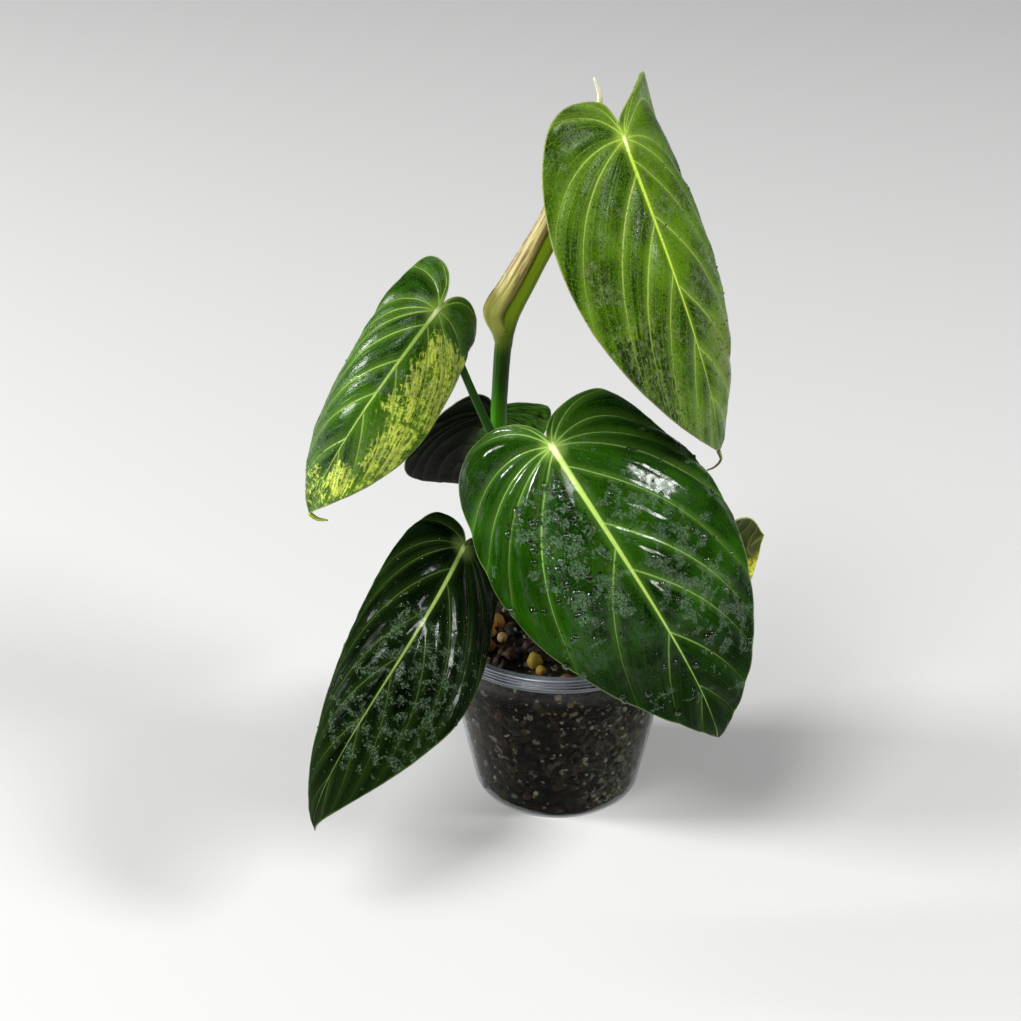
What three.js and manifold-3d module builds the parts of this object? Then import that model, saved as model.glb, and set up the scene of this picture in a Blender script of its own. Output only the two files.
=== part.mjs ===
// A potted philodendron: six heart-shaped leaves on one stem, in a clear nursery pot of soil.
// Millimetres, +Z up, origin at the centre of the pot's flat base.
import * as THREE from 'three';
import { mergeVertices } from 'three/addons/utils/BufferGeometryUtils.js';
import Module from 'manifold-3d';

const wasm = await Module();
wasm.setup();

// Clearance between neighbouring pieces, how far a cut piece's surface may be tidied, and how close
// two vertices lie that are merged
const GAP = 0.3;
const TIDY = 0.03;
const MERGE = 1e-4;
const RAD = Math.PI / 180;

// Pot: a thin tapered cup with a rolled lip and holes in its floor
const POT_HEIGHT = 78;
const POT_BASE_R = 33;
const POT_FOOT_R = 33.2;
const POT_TOP_R = 47;
const POT_WALL = 0.9;
const POT_CORNER = 2;
const POT_CHAMFER = 0.6;
const LIP_R = 50;
const LIP_HEIGHT = 6;
const LIP_SOFTENING = 1;
const POT_SEGMENTS = 36;
const DRAIN_R = 3;
const DRAIN_LENGTH = 6;
const DRAIN_SIDES = 14;
const DRAIN_RING_R = 20;
const DRAIN_COUNT = 4;

// Soil: a plug with a mounded top, chunks of bark and round pellets sunk into it
const SOIL_EDGE_Z = 66;
const SOIL_CROWN_Z = 69;
const SOIL_SEGMENTS = 26;
const SOIL_RINGS = [0.7, 0.35];
const CHUNK_SEED = 7;
const CHUNK_COUNT = 30;
const CHUNK_R = [2, 4];
const CHUNK_WIDTH = [0.55, 1.05];
const CHUNK_THICKNESS = [0.5, 1];
const CHUNK_LIFT = 0.05;
const CHUNK_MARGIN = 4.5;
const CHUNK_TURN = 2.4;
const PELLET_R = 2.8;
const PELLET_LIFT = 0.5;
const PELLETS = [
  [-10, -25],
  [2, -36],
  [-24, 2],
  [-27, -13],
];

// Stem and petioles, each a path and its radii at the two ends
const STEM = {
  path: [[-8, 4, 57], [-12, 3, 85], [-19, 1, 120], [-23, 0, 155], [-22.5, 0, 178], [-21, 0, 199]],
  radii: [3.6, 3.1],
  sides: 12,
  steps: 8,
};
const PETIOLE_SIDES = 8;
const PETIOLE_STEPS = 9;
const PETIOLES = {
  a: {
    path: [
      [-20.5, 0, 195], [-17.6, 0, 207], [-12, 0, 217.5], [-5, 0, 232],
      [5, 1, 250], [13, -1, 266], [20, -12, 277],
    ],
    radii: [2.7, 1.9],
  },
  b: {
    path: [[-23, 0, 146], [-26.5, -5, 160], [-32, -7, 175], [-37, -8, 189], [-42, -7, 203], [-45, -12, 212]],
    radii: [1.7, 1.4],
  },
  c: {
    path: [[-14, 2, 92], [-6, -12, 115], [-1, -26, 142], [1, -37, 166], [-4, -45, 175]],
    radii: [2.4, 1.9],
  },
  d: {
    path: [[-13, 2, 88], [-24, -12, 98], [-36, -28, 108], [-40, -36, 120], [-36, -38, 129]],
    radii: [2.2, 1.8],
  },
  e: {
    path: [[-20, 2, 115], [-23, 9, 133], [-26, 16, 146], [-28, 22, 152]],
    radii: [1.9, 1.5],
  },
  f: {
    path: [[-12, 3, 82], [12, -6, 100], [32, -20, 106], [50, -20, 102], [56, -10, 96], [53, -2, 93]],
    radii: [1.9, 1.5],
  },
};

// Where a petiole meets its blade: the reach of the ball that its end is trimmed with
const SEAT_REACH = 10;
const SEAT_SIDES = 10;

// Dried sheath: an elbow at the top node, then a sleeve that narrows to a pale point
const SHEATH = {
  path: [
    [-22.6, 0, 199.5], [-24.8, 0, 207.5], [-19.4, 1, 217], [-10.8, 2, 232],
    [-5, 4, 243], [3, 7, 264], [9, 8, 281], [12, 8, 292],
  ],
  radii: [3.4, 3.9, 3.3, 2.8, 2.4, 2.0, 1.4, 0.5],
  sides: 11,
  steps: 18,
};

// Leaf blades. The midrib leaves the petiole at attach with a heading (0 along +X, 90 along +Y), a
// pitch and a roll, then turns by droop (down), sway (to the right) and twist over its length.
// Each half has its width, how far its lobe reaches back, where the lobe's crest, the widest place
// and the shoulder lie, and how it folds at the midrib, curls outwards and turns at the lobe.
const LEAVES = {
  a: {
    attach: [20, -12, 277], heading: -51, pitch: -55, roll: -1,
    length: 131, droop: 50, sway: -33, twist: 18, ease: 1.52, notch: 6,
    left: { width: 50, lobe: 15, crest: 0.7, widest: 0.26, shoulder: 0.44, fold: -18, curl: 38, turn: -94 },
    right: { width: 42, lobe: 17, crest: 0.42, widest: 0.26, shoulder: 0.3, fold: 10, curl: 34, turn: -112 },
    quilt: 0.9, rows: 20, color: 0x8a9c4c, tail: [[0, 0, 0], [1, 0, -3], [-1, 0, -6], [-4, -1, -7]],
  },
  b: {
    attach: [-45, -12, 212], heading: -128, pitch: -29, roll: 38,
    length: 103, droop: 79, sway: 6, twist: -25, ease: 0.8, notch: 4,
    left: { width: 26, lobe: 16, crest: 0.56, widest: 0.36, shoulder: 0.26, fold: -19, curl: 46, turn: 77 },
    right: { width: 25, lobe: 19, crest: 0.54, widest: 0.3, shoulder: 0.44, fold: 2, curl: 74, turn: 13 },
    quilt: 0.7, rows: 20, color: 0x8fa83a, tail: [[0, 0, 0], [3, 0, -2], [7, -1, -2]],
  },
  c: {
    attach: [-4, -45, 175], heading: -57, pitch: -28, roll: -50,
    length: 150, droop: 89, sway: 22, twist: 20, ease: 1, notch: 5,
    left: { width: 58, lobe: 15, crest: 0.46, widest: 0.22, shoulder: 0.3, fold: -38, curl: 50, turn: -26 },
    right: { width: 52, lobe: 24, crest: 0.58, widest: 0.22, shoulder: 0.16, fold: 3, curl: 34, turn: 46 },
    quilt: 1.1, rows: 20, color: 0x2f5a2a,
  },
  d: {
    attach: [-36, -38, 129], heading: -106, pitch: -7, roll: 36,
    length: 140, droop: 115, sway: 10, twist: -44, ease: 1.38, notch: 2,
    left: { width: 35, lobe: 16, crest: 0.46, widest: 0.3, shoulder: 0.12, fold: -15, curl: 39, turn: 20 },
    right: { width: 25, lobe: 12, crest: 0.52, widest: 0.22, shoulder: 0.26, fold: 5, curl: 59, turn: 28 },
    quilt: 0.9, rows: 20, color: 0x1f3a20,
  },
  e: {
    attach: [-28, 22, 152], heading: 128, pitch: -48, roll: -12,
    length: 82, droop: 5, sway: 42, twist: 0, ease: 1, notch: 4,
    left: { width: 28, lobe: 17, crest: 0.5, widest: 0.26, shoulder: 0.12, fold: 12, curl: 35, turn: -28 },
    right: { width: 30, lobe: 16, crest: 0.5, widest: 0.26, shoulder: 0.12, fold: -2, curl: 20, turn: 75 },
    quilt: 0.7, rows: 14, color: 0x262a14,
  },
  f: {
    attach: [53, -2, 93], heading: 58, pitch: -10, roll: 98,
    length: 60, droop: 0, sway: 0, twist: 0, ease: 1, notch: 4,
    left: { width: 19, lobe: 13, crest: 0.5, widest: 0.3, shoulder: 1.1, fold: 4, curl: 15, turn: 0 },
    right: { width: 17, lobe: 12, crest: 0.5, widest: 0.26, shoulder: 0.85, fold: 8, curl: 30, turn: 0 },
    quilt: 0.6, rows: 14, color: 0x6d7428,
  },
};

// The blade's thickness, the rib under its midrib, and the curled tail at a tip
const BLADE = 0.8;
const RIB_DEPTH = 1.3;
const RIB_START = 0.3;
const RIB_FADE = 0.8;
const TAIL = { radii: [0.55, 0.33], sides: 6, steps: 6 };

// Margin of a half: where its crest and its widest place lie along it, and its curves' handles
const CREST_AT = 0.2;
const WIDEST_AT = 0.46;
const NOTCH_HANDLE = [0.6, 0.05];
const CREST_HANDLES = [0.28, 0.3];
const WIDE_HANDLES = [0.5, 0.4];
const SHOULDER_AT = 0.8;

// Veins: columns along each, where they start on the midrib, and how they arch (degrees)
const COLUMNS = [0, 0.06, 0.2, 0.38, 0.56, 0.74, 0.9, 1];
const FAN = 0.66;
const FOOT_EASE = 1.15;
const FOOT_END = 0.98;
const ARCH_EASE = 0.75;
const VEIN_LEAVES = 38;
const VEIN_ARRIVES = 34;
const VEIN_HANDLES = [0.4, 0.36];

// Quilting between the veins: how its lift grows and fades along a vein
const QUILT_SPREAD = 1.1;
const QUILT_SHIFT = 0.02;
const QUILT_FULLNESS = 0.7;

// Steps along the midrib, how far behind the notch they go on, and the span of a lobe's turn
const SPINE_STEPS = 48;
const LOBE_REACH = 0.4;
const LOBE_SPAN = 0.25;

const COLORS = { pot: 0xb9bdbe, stem: 0x4f7d1c, petiole: 0x5f8a24, sheath: 0xd9c79a, soil: 0x3b2a1e };
const ROUGHNESS = { pot: 0.2, leaf: 0.45, stem: 0.45, petiole: 0.5, sheath: 0.6, soil: 0.9 };

const lerp = (a, b, t) => a + (b - a) * t;
const clamp01 = (t) => Math.min(Math.max(t, 0), 1);

function seeded(seed) {
  let state = seed;
  return () => {
    state = (state * 1664525 + 1013904223) % 4294967296;
    return state / 4294967296;
  };
}

// A cubic through four flat points
function cubic(p, t) {
  const k = 1 - t;
  const w = [k * k * k, 3 * t * k * k, 3 * t * t * k, t * t * t];
  return [0, 1].map((i) => w[0] * p[0][i] + w[1] * p[1][i] + w[2] * p[2][i] + w[3] * p[3][i]);
}

// The margin of one half, from the notch (s = 0) by the lobe's crest and the widest place to the tip
function margin(leaf, half, s) {
  const L = leaf.length;
  const W = half.width;
  const notch = [-leaf.notch, 0];
  const crest = [-half.lobe, half.crest * W];
  const wide = [half.widest * L, W];
  const tip = [L, 0];
  if (s <= CREST_AT) {
    const out = [-lerp(leaf.notch, half.lobe, NOTCH_HANDLE[0]), NOTCH_HANDLE[1] * W];
    const before = [crest[0], crest[1] - CREST_HANDLES[0] * W];
    return cubic([notch, out, before, crest], s / CREST_AT);
  }
  if (s <= WIDEST_AT) {
    const after = [crest[0], crest[1] + CREST_HANDLES[1] * W];
    const before = [lerp(wide[0], -half.lobe, WIDE_HANDLES[0]), W];
    return cubic([crest, after, before, wide], (s - CREST_AT) / (WIDEST_AT - CREST_AT));
  }
  const after = [lerp(wide[0], L, WIDE_HANDLES[1]), W];
  const shoulder = [SHOULDER_AT * L, half.shoulder * W];
  return cubic([wide, after, shoulder, tip], (s - WIDEST_AT) / (1 - WIDEST_AT));
}

// A row follows a vein: out of the midrib, backwards, then arched towards the tip
function veinPoint(leaf, half, s, r) {
  const end = margin(leaf, half, s);
  const start = [leaf.length * FOOT_END * clamp01((s - FAN) / (1 - FAN)) ** FOOT_EASE, 0];
  const chord = [end[0] - start[0], end[1] - start[1]];
  const span = Math.hypot(...chord);
  const angle = Math.atan2(chord[1], chord[0]);
  const arch = Math.sin(Math.PI * s ** ARCH_EASE);
  const leave = Math.min(angle + VEIN_LEAVES * RAD * arch, Math.PI);
  const arrive = angle - VEIN_ARRIVES * RAD * arch;
  const [out, back] = VEIN_HANDLES.map((handle) => handle * span);
  const p1 = [start[0] + out * Math.cos(leave), out * Math.sin(leave)];
  const p2 = [end[0] - back * Math.cos(arrive), end[1] - back * Math.sin(arrive)];
  return cubic([start, p1, p2, end], r);
}

// The midrib in space, with the sideways and upward directions along it, for one half
function spine(leaf, half) {
  const h = leaf.heading * RAD;
  const p = leaf.pitch * RAD;
  const ahead = new THREE.Vector3(Math.cos(h) * Math.cos(p), Math.sin(h) * Math.cos(p), Math.sin(p));
  const side = new THREE.Vector3(Math.sin(h), -Math.cos(h), 0);
  const up = new THREE.Vector3().crossVectors(side, ahead);
  side.applyAxisAngle(ahead, -leaf.roll * RAD);
  up.applyAxisAngle(ahead, -leaf.roll * RAD);
  const frameAt = (droop, sway, twist) => {
    const turn = new THREE.Vector3()
      .addScaledVector(side, -droop * RAD)
      .addScaledVector(up, -sway * RAD)
      .addScaledVector(ahead, -twist * RAD);
    const q = new THREE.Quaternion().setFromAxisAngle(turn.clone().normalize(), turn.length());
    return [ahead, side, up].map((v) => v.clone().applyQuaternion(q));
  };
  const samples = [];
  const step = leaf.length / SPINE_STEPS;
  let at = new THREE.Vector3(...leaf.attach);
  for (let i = 0; i <= SPINE_STEPS; i += 1) {
    const g = (i / SPINE_STEPS) ** leaf.ease;
    const f = frameAt(leaf.droop * g, leaf.sway * g, leaf.twist * g);
    if (i > 0) {
      const mean = f[0].clone().add(samples[i - 1].f[0]).multiplyScalar(0.5);
      at = at.clone().addScaledVector(mean, step);
    }
    samples.push({ u: i * step, at, f });
  }
  at = new THREE.Vector3(...leaf.attach);
  const backSteps = Math.round(SPINE_STEPS * LOBE_REACH);
  for (let i = 1; i <= backSteps; i += 1) {
    const back = Math.max((i * step - leaf.notch) / leaf.length, 0);
    const f = frameAt((-half.turn * back) / LOBE_SPAN, 0, 0);
    const mean = f[0].clone().add(samples[0].f[0]).multiplyScalar(0.5);
    at = at.clone().addScaledVector(mean, -step);
    samples.unshift({ u: -i * step, at, f });
  }
  return samples;
}

// Places a flat point of one half in space: along the spine, then out along a curling arc
function placer(leaf, half, sign) {
  const samples = spine(leaf, half);
  const first = samples[0].u;
  const step = leaf.length / SPINE_STEPS;
  return (u, v) => {
    const i = Math.min(Math.floor(Math.max(u - first, 0) / step), samples.length - 2);
    const t = clamp01((u - first) / step - i);
    const [a, b] = [samples[i], samples[i + 1]];
    const at = a.at.clone().lerp(b.at, t);
    const side = a.f[1].clone().lerp(b.f[1], t);
    const up = a.f[2].clone().lerp(b.f[2], t);
    const fold = half.fold * RAD * (1 - clamp01(u / leaf.length));
    const bend = (half.curl * RAD) / half.width;
    const across = (Math.sin(fold) - Math.sin(fold - bend * v)) / bend;
    const rise = (Math.cos(fold - bend * v) - Math.cos(fold)) / bend;
    return at.addScaledVector(side, sign * across).addScaledVector(up, rise);
  };
}

// A leaf blade: two halves of vein rows, quilted between the veins, with a rib under the midrib
function bladeMesh(leaf) {
  const { rows } = leaf;
  const points = [];
  const lifts = [];
  const ribs = [];
  const faces = [];
  const rims = [];
  const index = new Map();
  for (const [name, sign] of [['left', -1], ['right', 1]]) {
    const half = leaf[name];
    const place = placer(leaf, half, sign);
    const vertex = (i, j) => {
      const s = i / rows;
      const r = i === rows ? 1 : COLUMNS[j];
      const onMidrib = j === 0;
      let key = `${name} ${i} ${j}`;
      if (i === rows) key = 'tip';
      else if (onMidrib && s <= FAN) key = 'attach';
      else if (onMidrib) key = `midrib ${i}`;
      else if (i === 0) key = `back ${j}`;
      if (index.has(key)) return index.get(key);
      const [u, v] = veinPoint(leaf, half, s, r);
      points.push(place(u, Math.max(v, 0)));
      const along = Math.sin(Math.PI * clamp01(r * QUILT_SPREAD + QUILT_SHIFT)) ** QUILT_FULLNESS;
      const quilted = i === 0 || i === rows ? 0 : along / 2;
      lifts.push(leaf.quilt * quilted * (i % 2 === 0 ? 1 : -1));
      const fade = (1 - clamp01(u / leaf.length)) ** RIB_FADE;
      const depth = key === 'attach' ? RIB_START : RIB_DEPTH * fade;
      ribs.push(onMidrib ? depth : 0);
      index.set(key, points.length - 1);
      return points.length - 1;
    };
    for (let i = 0; i < rows; i += 1) {
      for (let j = 0; j < COLUMNS.length - 1; j += 1) {
        const [a, b, c, d] = [vertex(i, j), vertex(i, j + 1), vertex(i + 1, j + 1), vertex(i + 1, j)];
        for (const tri of [[a, b, c], [a, c, d]]) {
          if (new Set(tri).size < 3) continue;
          faces.push(sign > 0 ? tri : [tri[0], tri[2], tri[1]]);
        }
      }
      const edge = [vertex(i, COLUMNS.length - 1), vertex(i + 1, COLUMNS.length - 1)];
      rims.push(sign > 0 ? edge : [edge[1], edge[0]]);
    }
  }
  const normals = points.map(() => new THREE.Vector3());
  for (const [a, b, c] of faces) {
    const n = points[b].clone().sub(points[a]).cross(points[c].clone().sub(points[a]));
    [a, b, c].forEach((k) => normals[k].add(n));
  }
  const count = points.length;
  const positions = [];
  for (const face of [1, -1]) {
    points.forEach((point, k) => {
      const n = normals[k].clone().normalize();
      const away = face > 0 ? BLADE / 2 : -BLADE / 2 - ribs[k];
      const q = point.clone().addScaledVector(n, lifts[k] + away);
      positions.push(q.x, q.y, q.z);
    });
  }
  const indices = [];
  for (const [a, b, c] of faces) {
    indices.push(a, b, c, a + count, c + count, b + count);
  }
  for (const [a, b] of rims) {
    indices.push(a, a + count, b + count, a, b + count, b);
  }
  const geometry = new THREE.BufferGeometry();
  geometry.setAttribute('position', new THREE.Float32BufferAttribute(positions, 3));
  geometry.setIndex(indices);
  return geometry;
}

// A rod along a curve, its radius following the list of radii
function rod({ path, radii }, sides, steps, grow = 0) {
  const curve = new THREE.CatmullRomCurve3(path.map((p) => new THREE.Vector3(...p)));
  const shape = new THREE.Shape();
  for (let k = 0; k < sides; k += 1) {
    const a = (2 * Math.PI * k) / sides;
    if (k === 0) shape.moveTo(Math.cos(a), Math.sin(a));
    else shape.lineTo(Math.cos(a), Math.sin(a));
  }
  shape.closePath();
  const geometry = new THREE.ExtrudeGeometry(shape, { steps, extrudePath: curve, bevelEnabled: false });
  const centres = curve.getSpacedPoints(steps);
  const position = geometry.getAttribute('position');
  const v = new THREE.Vector3();
  for (let k = 0; k < position.count; k += 1) {
    v.fromBufferAttribute(position, k);
    let best = 0;
    centres.forEach((c, i) => {
      if (Math.abs(c.distanceTo(v) - 1) < Math.abs(centres[best].distanceTo(v) - 1)) best = i;
    });
    const x = (best / steps) * (radii.length - 1);
    const i = Math.min(Math.floor(x), radii.length - 2);
    const radius = lerp(radii[i], radii[i + 1], x - i) + grow;
    v.sub(centres[best]).multiplyScalar(radius).add(centres[best]);
    position.setXYZ(k, v.x, v.y, v.z);
  }
  return geometry;
}

function solidOf(geometry) {
  const bare = geometry.clone();
  bare.deleteAttribute('normal');
  bare.deleteAttribute('uv');
  const merged = mergeVertices(bare, MERGE);
  return new wasm.Manifold(new wasm.Mesh({
    numProp: 3,
    vertProperties: new Float32Array(merged.getAttribute('position').array),
    triVerts: new Uint32Array(merged.getIndex().array),
  }));
}

function geometryOf(solid) {
  const mesh = solid.getMesh();
  const geometry = new THREE.BufferGeometry();
  geometry.setAttribute('position', new THREE.BufferAttribute(new Float32Array(mesh.vertProperties), 3));
  geometry.setIndex(new THREE.BufferAttribute(new Uint32Array(mesh.triVerts), 1));
  geometry.computeVertexNormals();
  return geometry;
}

function largest(solid) {
  return solid.simplify(TIDY).decompose().sort((a, b) => b.volume() - a.volume())[0];
}

// Ends a petiole just under the two halves of its blade
function underBlade(petiole, leaf) {
  const ball = solidOf(new THREE.SphereGeometry(SEAT_REACH, SEAT_SIDES, SEAT_SIDES / 2));
  const below = BLADE / 2 + RIB_START + GAP;
  let cut = petiole;
  for (const [half, sign] of [[leaf.left, -1], [leaf.right, 1]]) {
    const { at, f } = spine(leaf, half).find((sample) => sample.u === 0);
    const normal = f[2].clone().multiplyScalar(Math.cos(half.fold * RAD));
    normal.addScaledVector(f[1], -sign * Math.sin(half.fold * RAD));
    const above = ball.translate(at.toArray()).trimByPlane(normal.toArray(), normal.dot(at) - below);
    cut = cut.subtract(above);
  }
  return cut;
}

const group = new THREE.Group();
function addPiece(name, solid, color, roughness) {
  const material = new THREE.MeshStandardMaterial({ color, roughness, metalness: 0 });
  const mesh = new THREE.Mesh(geometryOf(solid), material);
  mesh.name = name;
  group.add(mesh);
}

// Pot
const LIP_INNER_R = POT_TOP_R - POT_WALL;
const POT_PROFILE = [
  [0, 0],
  [POT_BASE_R - POT_CORNER, 0],
  [POT_BASE_R - POT_CHAMFER, POT_CHAMFER],
  [POT_FOOT_R, POT_CORNER],
  [POT_TOP_R, POT_HEIGHT - LIP_HEIGHT],
  [LIP_R - LIP_SOFTENING, POT_HEIGHT - LIP_HEIGHT],
  [LIP_R, POT_HEIGHT - LIP_HEIGHT + LIP_SOFTENING],
  [LIP_R, POT_HEIGHT - LIP_SOFTENING],
  [LIP_R - LIP_SOFTENING, POT_HEIGHT],
  [LIP_INNER_R + LIP_SOFTENING, POT_HEIGHT],
  [LIP_INNER_R, POT_HEIGHT - LIP_SOFTENING],
  [LIP_INNER_R, POT_HEIGHT - LIP_HEIGHT],
  [POT_FOOT_R - POT_WALL, POT_CORNER],
  [POT_BASE_R - POT_CORNER, POT_WALL],
  [0, POT_WALL],
];
function lathe(profile, segments) {
  const turned = new THREE.LatheGeometry(profile.map(([x, y]) => new THREE.Vector2(x, y)), segments);
  return turned.rotateX(Math.PI / 2);
}
let pot = solidOf(lathe(POT_PROFILE, POT_SEGMENTS));
for (let k = 0; k < DRAIN_COUNT; k += 1) {
  const a = (2 * Math.PI * (k + 0.5)) / DRAIN_COUNT;
  const drain = new THREE.CylinderGeometry(DRAIN_R, DRAIN_R, DRAIN_LENGTH, DRAIN_SIDES);
  drain.rotateX(Math.PI / 2).translate(DRAIN_RING_R * Math.cos(a), DRAIN_RING_R * Math.sin(a), 0);
  pot = pot.subtract(solidOf(drain));
}
addPiece('pot', pot, COLORS.pot, ROUGHNESS.pot);

// Stem, blades with their petioles, and sheath
const stem = solidOf(rod(STEM, STEM.sides, STEM.steps));
const aroundStem = solidOf(rod(STEM, STEM.sides, STEM.steps, GAP));
addPiece('stem', stem, COLORS.stem, ROUGHNESS.stem);

for (const [name, leaf] of Object.entries(LEAVES)) {
  let blade = solidOf(bladeMesh(leaf));
  if (leaf.tail) {
    const tip = spine(leaf, leaf.right).pop().at;
    const path = leaf.tail.map((p) => [tip.x + p[0], tip.y + p[1], tip.z + p[2]]);
    blade = blade.add(solidOf(rod({ path, radii: TAIL.radii }, TAIL.sides, TAIL.steps)));
  }
  addPiece(`leaf_${name}`, blade, leaf.color, ROUGHNESS.leaf);
  const petiole = solidOf(rod(PETIOLES[name], PETIOLE_SIDES, PETIOLE_STEPS)).subtract(aroundStem);
  addPiece(`petiole_${name}`, largest(underBlade(petiole, leaf)), COLORS.petiole, ROUGHNESS.petiole);
}

const sleeve = solidOf(rod(SHEATH, SHEATH.sides, SHEATH.steps));
const aroundPetiole = solidOf(rod(PETIOLES.a, PETIOLE_SIDES, PETIOLE_STEPS, GAP));
const sheath = largest(sleeve.subtract(aroundPetiole).subtract(aroundStem));
addPiece('sheath', sheath, COLORS.sheath, ROUGHNESS.sheath);

// Soil, with its chunks and pellets sunk into the top
const soilTopAt = (r) => lerp(SOIL_CROWN_Z, SOIL_EDGE_Z, (r / POT_TOP_R) ** 2);
const wallRAt = (z) => lerp(POT_FOOT_R, POT_TOP_R, (z - POT_CORNER) / (POT_HEIGHT - LIP_HEIGHT - POT_CORNER));
const soilRAt = (z) => wallRAt(z) - POT_WALL - GAP;
const soilR = soilRAt(SOIL_EDGE_Z);
const soilProfile = [
  [0, POT_WALL + GAP],
  [POT_BASE_R - POT_CORNER - GAP, POT_WALL + GAP],
  [soilRAt(POT_CORNER + 1), POT_CORNER + 1],
  [soilR, SOIL_EDGE_Z],
  ...SOIL_RINGS.map((ring) => [soilR * ring, soilTopAt(POT_TOP_R * ring)]),
  [0, SOIL_CROWN_Z],
];
let soil = solidOf(lathe(soilProfile, SOIL_SEGMENTS));
const random = seeded(CHUNK_SEED);
for (let k = 0; k < CHUNK_COUNT; k += 1) {
  const size = lerp(...CHUNK_R, random());
  const r = (soilR - CHUNK_MARGIN) * Math.sqrt((k + 0.5) / CHUNK_COUNT);
  const a = k * CHUNK_TURN + random();
  const chunk = new THREE.IcosahedronGeometry(size, 0);
  chunk.scale(1, lerp(...CHUNK_WIDTH, random()), lerp(...CHUNK_THICKNESS, random()));
  chunk.rotateX(Math.PI * random()).rotateZ(2 * Math.PI * random());
  chunk.translate(r * Math.cos(a), r * Math.sin(a), soilTopAt(r) + size * CHUNK_LIFT);
  soil = soil.add(solidOf(chunk));
}
for (const [x, y] of PELLETS) {
  const pellet = new THREE.IcosahedronGeometry(PELLET_R, 1);
  pellet.translate(x, y, soilTopAt(Math.hypot(x, y)) + PELLET_R * PELLET_LIFT);
  soil = soil.add(solidOf(pellet));
}
addPiece('soil', largest(soil.subtract(aroundStem)), COLORS.soil, ROUGHNESS.soil);

export default group;
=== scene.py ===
import random
from functools import partialmethod
from math import atan2, cos, exp, hypot, pi, radians, sin, sqrt

import bmesh
import bpy
import numpy as np
from mathutils import Matrix, Vector, noise


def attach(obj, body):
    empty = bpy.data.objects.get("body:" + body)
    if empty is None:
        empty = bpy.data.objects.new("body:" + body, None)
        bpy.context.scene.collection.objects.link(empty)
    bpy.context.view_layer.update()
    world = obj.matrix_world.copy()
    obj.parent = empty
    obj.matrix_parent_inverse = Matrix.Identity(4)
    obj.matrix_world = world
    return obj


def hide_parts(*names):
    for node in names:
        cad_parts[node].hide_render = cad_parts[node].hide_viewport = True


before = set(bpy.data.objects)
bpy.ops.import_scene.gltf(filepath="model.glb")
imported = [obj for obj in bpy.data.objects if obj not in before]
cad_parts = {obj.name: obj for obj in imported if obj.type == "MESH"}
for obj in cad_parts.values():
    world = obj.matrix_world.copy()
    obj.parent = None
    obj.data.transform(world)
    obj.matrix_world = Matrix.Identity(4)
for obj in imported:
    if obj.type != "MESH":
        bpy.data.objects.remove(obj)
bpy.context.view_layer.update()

MM = 0.001
BODY = "root"

# Camera and picture: the photograph is square, with its focal length in its own pixels
PHOTO_PIXELS = 1021
FOCAL_PIXELS = 2291
SENSOR_MM = 36
EYE = (-0.0188, -0.750, 0.566)
LOOK_DOWN = 30.6

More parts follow.
